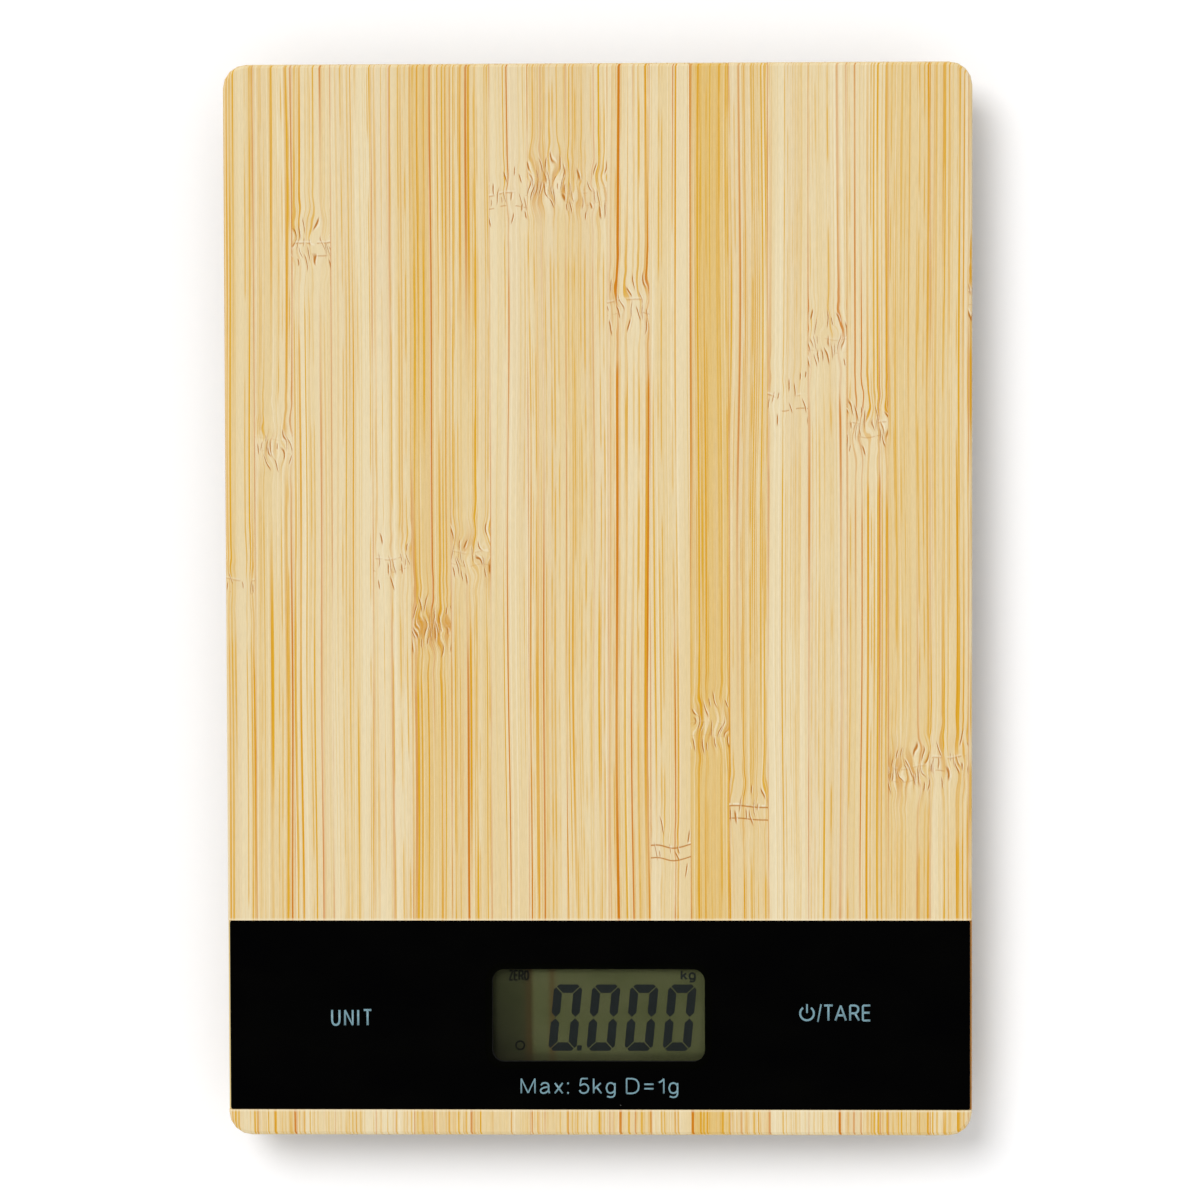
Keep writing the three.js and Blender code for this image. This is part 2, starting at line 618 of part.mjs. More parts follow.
// Everything that is taken out of the tray to make the battery bay, about the bay's own axis.
function bayHollow() {
  const opening = disc(DOOR_HOLE_RADIUS, TRAY_BOTTOM - CUT, LEDGE_BOTTOM);
  const throat = disc(LEDGE_RADIUS, LEDGE_BOTTOM - CUT, RACE_TOP);
  const notches = NOTCH_ANGLES.map((angle) =>
    ringSector(LEDGE_RADIUS - CUT, NOTCH_RADIUS, LEDGE_BOTTOM - CUT, RACE_TOP, angle, NOTCH_ANGLE),
  );
  // Each lug's race runs from the middle of its notch to just past the lug's locked place.
  const raceSpan = DOOR_TURN + LUG_ANGLE / 2 + LUG_STOP_GAP;
  const races = NOTCH_ANGLES.map((angle) =>
    ringSector(LEDGE_RADIUS - CUT, RACE_RADIUS, LEDGE_TOP, RACE_TOP, angle + raceSpan / 2, raceSpan),
  );
  const chamber = disc(CHAMBER_RADIUS, RACE_TOP - CUT, BAY_ROOF_BOTTOM);
  const contactRoom = CONTACT_WIDTH + 2 * SLIP_GAP;
  const slotWidth = CONTACT_THICKNESS + 2 * SLIP_GAP;
  const bladeRoom = block(slotWidth, contactRoom, RACE_TOP - TURN_GAP, BAY_ROOF_TOP + CUT, BLADE_X, 0);
  const tailSlot = block(contactRoom, slotWidth, BAY_ROOF_BOTTOM - CUT, BAY_ROOF_TOP + CUT, 0, TAIL_Y);
  return join(opening, throat, ...notches, ...races, chamber, bladeRoom, tailSlot);
}

// Long ribs each side of the bay, and lower cross ribs spread evenly from the bay to the back wall.
function trayRibs() {
  const bottom = TRAY_INSIDE - CUT;
  const top = TRAY_INSIDE + RIB_HEIGHT;
  const crossTop = TRAY_INSIDE + CROSS_RIB_HEIGHT;
  const front = PANEL_Y + FRAME_LENGTH;
  const middle = (TRAY_BACK + front) / 2;
  const length = TRAY_BACK - front + CUT;
  const long = SIDES.map((side) => block(RIB_THICKNESS, length, bottom, top, side * RIB_OFFSET, middle));
  const bayBack = BAY_Y + BAY_RADIUS;
  const cross = Array.from({ length: RIB_COUNT }, (_, index) => {
    const y = bayBack + ((index + 1) * (TRAY_BACK - bayBack)) / (RIB_COUNT + 1);
    return block(2 * RIB_OFFSET, RIB_THICKNESS, bottom, crossTop, 0, y);
  });
  return [...long, ...cross];
}

// The moulded tray under the board: floor, walls, foot openings with their collars, bosses for the
// board's screws, stiffening ribs, a shallow field for a label and the round battery bay.
function baseTray() {
  const outline = roundedRectangle(TRAY_WIDTH, TRAY_LENGTH, TRAY_CORNER_RADIUS);
  const whole = plate(outline, TRAY_BOTTOM, TRAY_TOP + TRAY_EDGE_BREAK, TRAY_EDGE_BREAK);
  const above = block(BOARD_WIDTH, BOARD_LENGTH, TRAY_TOP, TRAY_TOP + TRAY_EDGE_BREAK + CUT);
  const insideWidth = TRAY_WIDTH - 2 * TRAY_WALL;
  const insideLength = TRAY_LENGTH - 2 * TRAY_WALL;
  const inside = plate(
    roundedRectangle(insideWidth, insideLength, TRAY_CORNER_RADIUS - TRAY_WALL),
    TRAY_INSIDE,
    TRAY_TOP + CUT,
  );
  const collarRadius = FOOT_HOLE_RADIUS + COLLAR_WIDTH;
  const collars = discs(footPlaces(), collarRadius, TRAY_BOTTOM - COLLAR_HEIGHT, TRAY_INSIDE, CIRCLE_STEPS);
  const footHoles = discs(footPlaces(), FOOT_HOLE_RADIUS, 0, TRAY_INSIDE + CUT, CIRCLE_STEPS);

  const screws = trayScrewPlaces();
  const bosses = discs(screws, TRAY_BOSS_RADIUS, TRAY_INSIDE - CUT, TRAY_TOP);
  const shanks = discs(screws, TRAY_SCREW.radius + SHANK_GAP, TRAY_BOTTOM - CUT, TRAY_TOP + CUT);
  const sinkRadius = TRAY_SCREW.headRadius + HEAD_GAP;
  const sinks = discs(screws, sinkRadius, TRAY_BOTTOM - CUT, TRAY_BOTTOM + TRAY_SCREW_SINK);

  const labelY = BAY_Y - BAY_RADIUS - LABEL_GAP - LABEL_LENGTH / 2;
  const label = plate(
    roundedRectangle(LABEL_WIDTH, LABEL_LENGTH, LABEL_CORNER_RADIUS, 0, labelY),
    TRAY_BOTTOM - CUT,
    TRAY_BOTTOM + LABEL_DEPTH,
  );
  const bay = disc(BAY_RADIUS, TRAY_BOTTOM, BAY_ROOF_TOP, 0, BAY_Y);
  const shell = join(cut(whole, above, inside), ...collars, ...bosses, ...trayRibs(), bay);
  const hollow = bayHollow().translate([0, BAY_Y, 0]);
  return surface(cut(shell, ...footHoles, ...shanks, ...sinks, label, hollow));
}

// The round battery door: a disc with a coin slot, and a ring whose lugs turn in behind the bay's
// ledge. It is drawn locked.
function batteryDoor() {
  const face = turned([
    [0, DOOR_BOTTOM],
    [DOOR_RADIUS - DOOR_EDGE, DOOR_BOTTOM],
    [DOOR_RADIUS, DOOR_BOTTOM + DOOR_EDGE],
    [DOOR_RADIUS, DOOR_TOP],
    [0, DOOR_TOP],
  ]);
  const slotRadius = COIN_SLOT_WIDTH / 2 - FACE_GAP;
  const slot = plate(
    roundedRectangle(COIN_SLOT_LENGTH, COIN_SLOT_WIDTH, slotRadius),
    DOOR_BOTTOM - CUT,
    DOOR_BOTTOM + COIN_SLOT_DEPTH,
  );
  const ring = disc(RING_OUTER_RADIUS, DOOR_BOTTOM + COIN_SLOT_DEPTH, LUG_TOP);
  const bore = disc(RING_INNER_RADIUS, DOOR_TOP, LUG_TOP + CUT);
  const lugRoot = (RING_INNER_RADIUS + RING_OUTER_RADIUS) / 2;
  const lugs = NOTCH_ANGLES.map((angle) =>
    ringSector(lugRoot, LUG_RADIUS, LUG_BOTTOM, LUG_TOP, angle + DOOR_TURN, LUG_ANGLE),
  );
  return surface(cut(join(solid(face), ring, ...lugs), slot, bore));
}

// A lithium coin cell, its wide case down and its narrower cap up.
function coinCell() {
  const seam = COIN_TOP - COIN_STEP;
  return turned([
    [0, COIN_BOTTOM],
    [COIN_RADIUS - COIN_EDGE, COIN_BOTTOM],
    [COIN_RADIUS, COIN_BOTTOM + COIN_EDGE],
    [COIN_RADIUS, seam],
    [COIN_RADIUS - COIN_RIM, seam],
    [COIN_RADIUS - COIN_RIM - COIN_EDGE, COIN_TOP],
    [0, COIN_TOP],
  ]);
}

// Nickel leaf over the coin cell's cap, with a tail up through the bay's roof.
function negativeContact() {
  const leaf = block(CONTACT_WIDTH, LEAF_LENGTH, LEAF_BOTTOM, LEAF_TOP);
  const tail = block(CONTACT_WIDTH, CONTACT_THICKNESS, LEAF_BOTTOM, CONTACT_TIP, 0, TAIL_Y);
  return surface(join(leaf, tail));
}

// Nickel blade beside the coin cell's rim, up through the bay's roof.
function positiveContact() {
  return surface(block(CONTACT_THICKNESS, CONTACT_WIDTH, RACE_TOP, CONTACT_TIP, BLADE_X, 0));
}

// ---------- One corner: load cell, holder and foot, about the foot's own axis ----------

// Stamped steel cell: an outer frame, and a loading pad on a neck that bends and carries the gauge.
function loadCell() {
  const [below, above] = [CELL_BOTTOM - CUT, CELL_TOP + CUT];
  const innerRadius = CELL_CORNER_RADIUS / 2;
  const frame = plate(roundedRectangle(CELL_SIZE, CELL_SIZE, CELL_CORNER_RADIUS), CELL_BOTTOM, CELL_TOP);
  const opening = plate(roundedRectangle(CELL_OPENING, CELL_OPENING, innerRadius), below, above);
  const pad = plate(roundedRectangle(CELL_PAD_SIZE, CELL_PAD_SIZE, innerRadius), CELL_BOTTOM, CELL_TOP);
  const neckStart = CELL_PAD_SIZE / 2 - CUT;
  const neckEnd = CELL_OPENING / 2 + CUT;
  const neckMiddle = (neckStart + neckEnd) / 2;
  const neck = block(neckEnd - neckStart, CELL_NECK_WIDTH, CELL_BOTTOM, CELL_TOP, neckMiddle, 0);
  const pinHole = disc(PIN_RADIUS + SLIP_GAP, below, above, 0, 0, HOLE_STEPS);
  return surface(cut(join(cut(frame, opening), pad, neck), pinHole));
}

// The foil gauge on the middle of the neck, under its dab of sealant.
function strainGauge() {
  const x = (CELL_PAD_SIZE + CELL_OPENING) / 4;
  const dab = roundedRectangle(GAUGE_LENGTH, GAUGE_WIDTH, GAUGE_LENGTH / 3, x, 0);
  return surface(plate(dab, CELL_TOP + FACE_GAP, CELL_TOP + FACE_GAP + GAUGE_HEIGHT));
}

// Moulded holder between the cell's frame and the board. Clips keep the cell in, and a notch lets
// the gauge's lead out.
function cellHolder() {
  const [below, above] = [HOLDER_BOTTOM - CUT, HOLDER_TOP + CUT];
  const seatTop = CELL_TOP + FACE_GAP;
  const body = plate(
    roundedRectangle(HOLDER_SIZE, HOLDER_SIZE, HOLDER_CORNER_RADIUS),
    HOLDER_BOTTOM,
    HOLDER_TOP,
  );
  const seatSize = CELL_SIZE + 2 * SLIP_GAP;
  const seat = plate(roundedRectangle(seatSize, seatSize, CELL_CORNER_RADIUS), below, seatTop);
  const sight = plate(
    roundedRectangle(HOLDER_OPENING, HOLDER_OPENING, CELL_CORNER_RADIUS / 2),
    below,
    above,
  );
  const clipTop = HOLDER_BOTTOM + CLIP_THICKNESS;
  const clipDepth = CLIP_REACH + SLIP_GAP;
  const clipPlace = seatSize / 2 + SLIP_GAP - clipDepth / 2;
  const clips = SIDES.flatMap((side) => [
    block(CLIP_LENGTH, clipDepth, HOLDER_BOTTOM, clipTop, 0, side * clipPlace),
    block(clipDepth, CLIP_LENGTH, HOLDER_BOTTOM, clipTop, side * clipPlace, 0),
  ]);
  const notchStart = HOLDER_OPENING / 2 - CUT;
  const notchEnd = HOLDER_SIZE / 2 + CUT;
  const notchWidth = 2 * (LEAD_RADIUS + SLIP_GAP + TURN_GAP);
  const notch = block(notchEnd - notchStart, notchWidth, seatTop, above, (notchStart + notchEnd) / 2, 0);
  return surface(cut(join(cut(body, seat, sight), ...clips), notch));
}

// The foot's cup: holds the rubber pad below, and snaps through the cell's loading pad above. It is
// free to rise by the foot's travel before it meets the cell.
function footCup() {
  const loose = FOOT_TRAVEL + FACE_GAP;
  const coneTop = CELL_BOTTOM - loose;
  const headBottom = CELL_TOP + loose;
  const headTop = headBottom + PIN_HEAD_HEIGHT;
  const recessTop = PAD_HEIGHT + FACE_GAP;
  const recessRadius = PAD_RADIUS + PILOT_GAP;
  return turned([
    [0, recessTop],
    [recessRadius, recessTop],
    [recessRadius, PAD_PROUD],
    [FOOT_RADIUS - FOOT_EDGE, PAD_PROUD],
    [FOOT_RADIUS, PAD_PROUD + FOOT_EDGE],
    [FOOT_RADIUS, CUP_TOP],
    [CUP_CONE_RADIUS, CUP_TOP],
    [CUP_CONE_RADIUS - FOOT_EDGE, coneTop],
    [PIN_RADIUS, coneTop],
    [PIN_RADIUS, headBottom],
    [PIN_HEAD_RADIUS, headBottom],
    [PIN_RADIUS, headTop],
    [0, headTop],
  ], FOOT_STEPS);
}

// The rubber pad that stands on the table, with one ring groove in its face.
function rubberPad() {
  const [inner, outer] = [PAD_GROOVE_RADIUS - PAD_GROOVE_WIDTH / 2, PAD_GROOVE_RADIUS + PAD_GROOVE_WIDTH / 2];
  return turned([
    [0, 0],
    [inner, 0],
    [inner, PAD_GROOVE_DEPTH],
    [outer, PAD_GROOVE_DEPTH],
    [outer, 0],
    [PAD_RADIUS - FOOT_EDGE, 0],
    [PAD_RADIUS, FOOT_EDGE],
    [PAD_RADIUS, PAD_HEIGHT],
    [0, PAD_HEIGHT],
  ], FOOT_STEPS);
}

// One corner's pieces. The group is turned so that the cell's lead leaves towards the middle.
function cornerGroup({ place, side, end }) {
  const group = new THREE.Group();
  group.position.set(side * FOOT_X, end * FOOT_Y, 0);
  group.rotation.z = side < 0 ? 0 : Math.PI;
  group.add(
    piece(`cell_holder_${place}`, cellHolder(), whitePlastic),
    piece(`load_cell_${place}`, loadCell(), cellSteel),
    piece(`strain_gauge_${place}`, strainGauge(), gaugeSealant),
    piece(`foot_cup_${place}`, footCup(), blackPlastic),
    piece(`rubber_pad_${place}`, rubberPad(), footRubber),
  );
  return group;
}

// ---------- Leads ----------

// The gauge's lead, out through its holder's notch and on to the underside of the circuit board.
// A back lead runs forward on the tray's floor, outside the long rib.
function cellLead({ side, end }) {
  const notchInside = FOOT_X - CELL_OPENING / 2 - SLIP_GAP;
  const holderFace = FOOT_X - HOLDER_SIZE / 2;
  const outside = holderFace - 2 * LEAD_RADIUS;
  const floor = TRAY_INSIDE + LEAD_RADIUS + LEAD_LIFT;
  const start = [
    [notchInside, end * FOOT_Y, LEAD_HEIGHT],
    [holderFace, end * FOOT_Y, LEAD_HEIGHT],
    [outside, end * FOOT_Y, LEAD_HEIGHT],
  ];
  const front = [
    [outside - 2.4, PANEL_Y + 0.4, LEAD_TOP - 1.2],
    [outside - 3.6, PANEL_Y + 0.8, LEAD_TOP - 0.7],
    [outside - 3.9, PANEL_Y + 1, LEAD_TOP],
  ];
  const back = [
    [outside - 1.6, FOOT_Y - 2, LEAD_HEIGHT - 0.4],
    [outside - 2.8, FOOT_Y - 9, floor + 0.4],
    [outside - 3.6, FOOT_Y - 30, floor],
    [RIB_OFFSET + 4, 0, floor],
    [RIB_OFFSET + 5, PANEL_Y + 40, floor],
    [RIB_OFFSET + 1, PANEL_Y + 16, floor],
    [RIB_OFFSET - 2, PANEL_Y + 9, LEAD_TOP - 1],
    [RIB_OFFSET - 2.2, PANEL_Y + 8.4, LEAD_TOP],
  ];
  const route = [...start, ...(end < 0 ? front : back)];
  const points = route.map(([x, y, z]) => [side * x, y, z]);
  return rod(points, LEAD_RADIUS, end < 0 ? 10 : 30);
}

// A battery lead, from a contact's tail over the bay's roof, down to the tray's floor and along it
// to the circuit board.
function batteryLead(side) {
  const floor = TRAY_INSIDE + BATTERY_LEAD_RADIUS + LEAD_LIFT;
  const roof = BAY_ROOF_TOP + BATTERY_LEAD_RADIUS + FACE_GAP;
  const besideBlade = [
    [BLADE_X + 0.9, BAY_Y - 1, roof],
    [BLADE_X + 3, BAY_Y - 2, roof],
    [BAY_RADIUS + 0.8, BAY_Y - 4, roof],
    [BAY_RADIUS + 2, BAY_Y - 9, roof - 1.8],
    [BAY_RADIUS + 2.4, BAY_Y - 16, floor + 0.3],
  ];
  const besideTail = [
    [-1.4, BAY_Y + TAIL_Y - 1.2, roof],
    [-3, BAY_Y - BAY_RADIUS + 3.6, roof],
    [-5.4, BAY_Y - BAY_RADIUS - 0.4, roof],
    [-7, BAY_Y - BAY_RADIUS - 5, roof - 1.8],
    [-8, BAY_Y - BAY_RADIUS - 11, floor + 0.3],
  ];
  const run = [
    [side * 9, BAY_Y - 40, floor],
    [side * 6, PANEL_Y + 24, floor],
    [side * 5, PANEL_Y + 10, LEAD_TOP - 1.4],
    [side * 5, PANEL_Y + 9, LEAD_TOP],
  ];
  return rod([...(side > 0 ? besideBlade : besideTail), ...run], BATTERY_LEAD_RADIUS, 28);
}

// ---------- Assembly ----------

const scale = new THREE.Group();

scale.add(
  piece("bamboo_board", bambooBoard(), bamboo),
  piece("display_panel", displayPanel(), smokedAcrylic),
  piece("panel_tape", panelTape(), blackTape),
  piece("display_frame", displayFrame(), blackPlastic),
  piece("display_front_glass", glass(FRONT_GLASS_LENGTH, GLASS_TOP), displayGlass),
  piece("display_rear_glass", glass(REAR_GLASS_LENGTH, REAR_GLASS_TOP), displayGlass),
  piece("display_reflector", reflector(), reflectorFoil),
  piece("contact_strip_front", contactStrip(-1), conductiveRubber),
  piece("contact_strip_back", contactStrip(1), conductiveRubber),
  piece("circuit_board", circuitBoard(), circuitLaminate),
  piece("chip_cover", chipCover(), epoxy),
  piece("base_tray", baseTray(), blackPlastic),
);

keyPlaces().forEach(([x, y], index) => {
  const spring = piece(["touch_spring_unit", "touch_spring_tare"][index], touchSpring(), springSteel);
  spring.position.set(x, y, 0);
  scale.add(spring);
});

const bay = new THREE.Group();
bay.position.set(0, BAY_Y, 0);
bay.add(
  piece("battery_door", batteryDoor(), blackPlastic),
  piece("coin_cell", coinCell(), nickel),
  piece("battery_contact_negative", negativeContact(), nickel),
  piece("battery_contact_positive", positiveContact(), nickel),
);
scale.add(bay);

for (const corner of CORNERS) {
  scale.add(cornerGroup(corner));
  scale.add(piece(`cell_lead_${corner.place}`, cellLead(corner), redSleeve));
}

scale.add(piece("battery_lead_positive", batteryLead(1), redSleeve));
scale.add(piece("battery_lead_negative", batteryLead(-1), blackSleeve));

trayScrewPlaces().forEach(([x, y], index) => {
  const fixing = piece(`tray_screw_${index + 1}`, screw(TRAY_SCREW, TRAY_SCREW_SEAT), nickel);
  fixing.position.set(x, y, 0);
  scale.add(fixing);
});

circuitScrewPlaces().forEach(([x, y], index) => {
  const seat = CIRCUIT_BOTTOM - FACE_GAP;
  const fixing = piece(`circuit_screw_${index + 1}`, screw(CIRCUIT_SCREW, seat), nickel);
  fixing.position.set(x, y, 0);
  scale.add(fixing);
});

export default scale;
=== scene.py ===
import math

import bmesh
import bpy
from mathutils import Euler, Matrix, Vector


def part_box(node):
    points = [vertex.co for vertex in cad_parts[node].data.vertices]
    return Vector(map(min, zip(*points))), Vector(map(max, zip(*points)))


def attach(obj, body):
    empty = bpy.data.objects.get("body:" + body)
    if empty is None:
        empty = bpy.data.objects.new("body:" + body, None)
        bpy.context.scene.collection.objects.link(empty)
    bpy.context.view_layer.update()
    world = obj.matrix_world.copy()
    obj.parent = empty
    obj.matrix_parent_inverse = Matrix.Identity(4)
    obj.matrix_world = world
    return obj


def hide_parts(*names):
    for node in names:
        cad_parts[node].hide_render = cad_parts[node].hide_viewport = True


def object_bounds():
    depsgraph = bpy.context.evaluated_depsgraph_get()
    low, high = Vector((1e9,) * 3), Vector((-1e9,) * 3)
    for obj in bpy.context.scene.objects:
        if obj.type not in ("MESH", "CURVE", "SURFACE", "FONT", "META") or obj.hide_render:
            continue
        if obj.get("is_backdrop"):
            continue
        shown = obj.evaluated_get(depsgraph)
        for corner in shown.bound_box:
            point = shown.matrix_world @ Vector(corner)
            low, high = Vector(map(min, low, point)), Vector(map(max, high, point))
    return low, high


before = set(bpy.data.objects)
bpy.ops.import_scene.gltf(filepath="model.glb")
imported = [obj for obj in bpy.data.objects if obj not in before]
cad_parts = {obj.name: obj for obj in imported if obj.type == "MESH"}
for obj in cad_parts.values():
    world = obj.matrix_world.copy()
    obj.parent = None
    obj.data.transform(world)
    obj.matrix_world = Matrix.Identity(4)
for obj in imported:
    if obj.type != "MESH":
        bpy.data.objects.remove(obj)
cad_low, cad_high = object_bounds()

# ---------------------------------------------------------------- bamboo board
# The platform: strips of bamboo glued side by side, planed flat, routed across for the
# display panel and finished with a clear matt lacquer. Everything else hangs from it.

# Sizes here and below are in millimetres; MM makes metres of them.
MM = 0.001
FLAT_FACE_MM2 = 30
FLAT_UPRIGHT = 0.999
SOFT_ANGLE = 38
JOIN_WITHIN = 0.002
NEAR = 0.01
SAME_PLACE = 1e-7
BOARD_TOP = 17
CHANNEL_FROM, CHANNEL_TO, CHANNEL_FLOOR = -109, -69, 15.5
CHANNEL_MIDDLE = (CHANNEL_FROM + CHANNEL_TO) / 2
CHANNEL_HALF = (CHANNEL_TO - CHANNEL_FROM) / 2
CHANNEL_EASE = 0.45

# One row a strip, from the left: width, place of its knuckle along the board, then how tan it is,
# how dense its fibres are, how bold its dark lines are, how ringed and how wavy the knuckle is.
STRIPS = (
    (6.3, 5, 0.35, 0.35, 0.30, 0.35, 0.45),
    (8.3, 35, 0.55, 0.55, 0.35, 0.10, 0.80),
    (8.3, 77, 0.25, 0.40, 0.45, 0.60, 0.90),
    (8.8, 190, 0.10, 0.30, 0.45, 0.00, 0.00),
    (8.3, 10, 0.20, 0.45, 0.35, 0.35, 0.55),
    (8.4, -5, 0.70, 0.75, 0.45, 0.10, 0.95),
    (8.5, 10.5, 0.50, 0.60, 0.45, 0.20, 0.80),
    (8.1, 87, 0.30, 0.40, 0.45, 0.55, 0.60),
    (8.2, 90, 0.40, 0.65, 0.70, 0.05, 1.00),
    (8.9, 88, 0.35, 0.60, 0.50, 0.15, 0.75),
    (9.0, 64, 0.30, 0.50, 0.40, 0.40, 0.80),
    (8.6, -53, 0.25, 0.25, 0.30, 1.00, 0.25),
    (8.3, -26, 0.85, 0.85, 0.50, 0.10, 0.90),
    (8.3, -44, 0.50, 0.45, 0.35, 1.00, 0.60),
    (8.6, 44, 0.05, 0.30, 0.40, 0.60, 0.50),
    (8.3, 56, 0.15, 0.35, 0.40, 0.20, 0.85),
    (8.8, 38, 0.45, 0.50, 0.50, 0.40, 0.80),
    (8.9, -36, 0.70, 0.75, 0.40, 0.25, 0.95),
    (8.2, -33.5, 0.30, 0.50, 0.45, 0.50, 0.70),
    (2.0, 66, 0.35, 0.50, 0.90, 0.30, 0.50),
)


def linear(channel):
    """A colour channel from 0 to 255 as the light it reflects."""
    share = channel / 255
    return share / 12.92 if share <= 0.04045 else ((share + 0.055) / 1.055) ** 2.4


def paint(red, green, blue):
    return (linear(red), linear(green), linear(blue), 1.0)


def wire(tree, kind, sockets=(), **settings):
    """Adds a node and feeds its sockets with numbers, colours or other sockets."""
    node = tree.nodes.new(kind)
    for name, value in settings.items():
        setattr(node, name, value)
    for key, value in dict(sockets).items():
        if isinstance(value, bpy.types.NodeSocket):
            tree.links.new(value, node.inputs[key])
        else:
            node.inputs[key].default_value = value
    return node


def calc(tree, operation, *values):
    return wire(tree, "ShaderNodeMath", enumerate(values), operation=operation).outputs[0]


def plus(tree, first, second):
    return calc(tree, "ADD", first, second)


def minus(tree, first, second):
    return calc(tree, "SUBTRACT", first, second)


def ratio(tree, first, second):
    return calc(tree, "DIVIDE", first, second)


def scaled(tree, value, factor, start):
    return calc(tree, "MULTIPLY_ADD", value, factor, start)


def product(tree, *values):
    result = values[0]
    for value in values[1:]:
        result = calc(tree, "MULTIPLY", result, value)
    return result


def largest(tree, *values):
    result = values[0]
    for value in values[1:]:
        result = calc(tree, "MAXIMUM", result, value)
    return result


def unsigned(tree, value):
    return calc(tree, "ABSOLUTE", value)


def rise(tree, value, low, high, bottom=0.0, top=1.0):
    """Goes smoothly from bottom to top as value goes from low to high."""
    node = wire(
        tree, "ShaderNodeMapRange", enumerate((value, low, high, bottom, top)),
        interpolation_type="SMOOTHSTEP",
    )
    return node.outputs[0]


def blend(tree, share, first, second):
    node = wire(tree, "ShaderNodeMix", {0: share, 6: first, 7: second}, data_type="RGBA")
    return node.outputs[2]


def noise(tree, place, scale, detail=0.0, roughness=0.5):
    """Noise with its own scale along each axis, so that it can be drawn out into lines."""
    spread = wire(tree, "ShaderNodeVectorMath", {0: place, 1: scale}, operation="MULTIPLY")
    node = wire(
        tree, "ShaderNodeTexNoise",
        {"Vector": spread.outputs[0], "Scale": 1.0, "Detail": detail, "Roughness": roughness},
    )
    return node.outputs["Fac"]


def bell(tree, value, width):
    """1 where value is 0, falling to 0 on both sides."""
    square = calc(tree, "POWER", ratio(tree, value, width), 2.0)
    return calc(tree, "EXPONENT", product(tree, square, -1.0))


def new_material(name):
    material = bpy.data.materials.new(name)
    material.use_nodes = True
    tree = material.node_tree
    return material, tree, tree.nodes["Principled BSDF"]


def millimetres(tree):
    """A point's place on the object, in millimetres."""
    place = tree.nodes.new("ShaderNodeTexCoord").outputs["Object"]
    scale = wire(tree, "ShaderNodeVectorMath", {0: place, "Scale": 1 / MM}, operation="SCALE")
    return scale.outputs[0]


def coat(tree, shader, colour, roughness):
    tree.links.new(colour, shader.inputs["Base Color"])
    tree.links.new(roughness, shader.inputs["Roughness"])


def bumped(tree, shader, height, strength, depth):
    node = wire(
        tree, "ShaderNodeBump", {"Height": height, "Strength": strength, "Distance": depth * MM}
    )
    tree.links.new(node.outputs[0], shader.inputs["Normal"])


def publish(mesh_maker, name, material, body="scale_body", nodes=()):
    """Turns a bmesh into a finished piece that rides on a body."""
    mesh = bpy.data.meshes.new(name)
    mesh_maker.to_mesh(mesh)
    mesh_maker.free()
    piece = bpy.data.objects.new(name, mesh)
    bpy.context.scene.collection.objects.link(piece)
    for each in material if isinstance(material, (list, tuple)) else [material]:
        mesh.materials.append(each)
    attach(piece, body)
    if nodes:
        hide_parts(*nodes)
    return piece


def soften(mesh_maker):
    """Curved faces shade smoothly, flat faces and corners stay crisp."""
    for face in mesh_maker.faces:
        flat = abs(face.normal.z) > FLAT_UPRIGHT or face.calc_area() > FLAT_FACE_MM2 * MM * MM
        face.smooth = not flat
    for edge in mesh_maker.edges:
        edge.smooth = edge.calc_face_angle(math.pi) < math.radians(SOFT_ANGLE)


def merged_copy(node):
    """A bmesh of a CAD node with its loose triangles joined."""
    mesh_maker = bmesh.new()
    mesh_maker.from_mesh(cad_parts[node].data)
    bmesh.ops.remove_doubles(mesh_maker, verts=mesh_maker.verts, dist=JOIN_WITHIN * MM)
    mesh_maker.normal_update()
    soften(mesh_maker)
    return mesh_maker


def strip_facts(tree, name):
    """The three numbers that the faces of each strip carry under that name."""
    facts = wire(tree, "ShaderNodeAttribute", attribute_name=name).outputs["Vector"]
    return wire(tree, "ShaderNodeSeparateXYZ", {0: facts}).outputs


def vector(tree, *parts):
    return wire(tree, "ShaderNodeCombineXYZ", enumerate(parts)).outputs[0]


def three_of(tree, colour):
    """A colour's three channels, for use as three numbers."""
    return wire(tree, "ShaderNodeSeparateColor", {0: colour}).outputs


def chances(tree, *parts):
    """Three random numbers from 0 to 1 for each whole-numbered place."""
    place = vector(tree, *parts)
    dice = wire(tree, "ShaderNodeTexWhiteNoise", {"Vector": place}, noise_dimensions="3D")
    return three_of(tree, dice.outputs["Color"])


# A line keeps this share of its cell clear on both sides. Its half width runs from the slimmest to
# the slimmest plus the spread, as shares of the width asked for.
CELL_MARGIN = 0.2
SLIMMEST, SPREAD = 0.6, 0.9
LINE_SEED, STROKE_SEED, LUCK_SEED = 7, 11, 13
ROUTE_STEP = 3.7


def comb(tree, x, along, seed, pitch, width, share, wander):
    """Thin lines side by side. Each cell of that pitch may hold one, with its own place, width
    and strength; wander is how quickly a line fades and returns along its length."""
    cells = ratio(tree, x, pitch)
    cell = calc(tree, "FLOOR", cells)
    spot, girth, luck = chances(tree, cell, seed, pitch * LINE_SEED)
    spot = scaled(tree, spot, 1 - 2 * CELL_MARGIN, CELL_MARGIN)
    from_spot = minus(tree, minus(tree, cells, cell), spot)
    away = product(tree, unsigned(tree, from_spot), pitch)
    girth = scaled(tree, girth, width * SPREAD, width * SLIMMEST)
    line = rise(tree, ratio(tree, away, girth), 1.3, 0.6)
    strength = rise(tree, ratio(tree, luck, share), 1.0, 0.5)
    route = vector(tree, product(tree, cell, ROUTE_STEP), product(tree, along, wander), seed)
    fade = noise(tree, route, (1, 1, 1), 1.0)
    return product(tree, line, strength, rise(tree, fade, 0.36, 0.58))


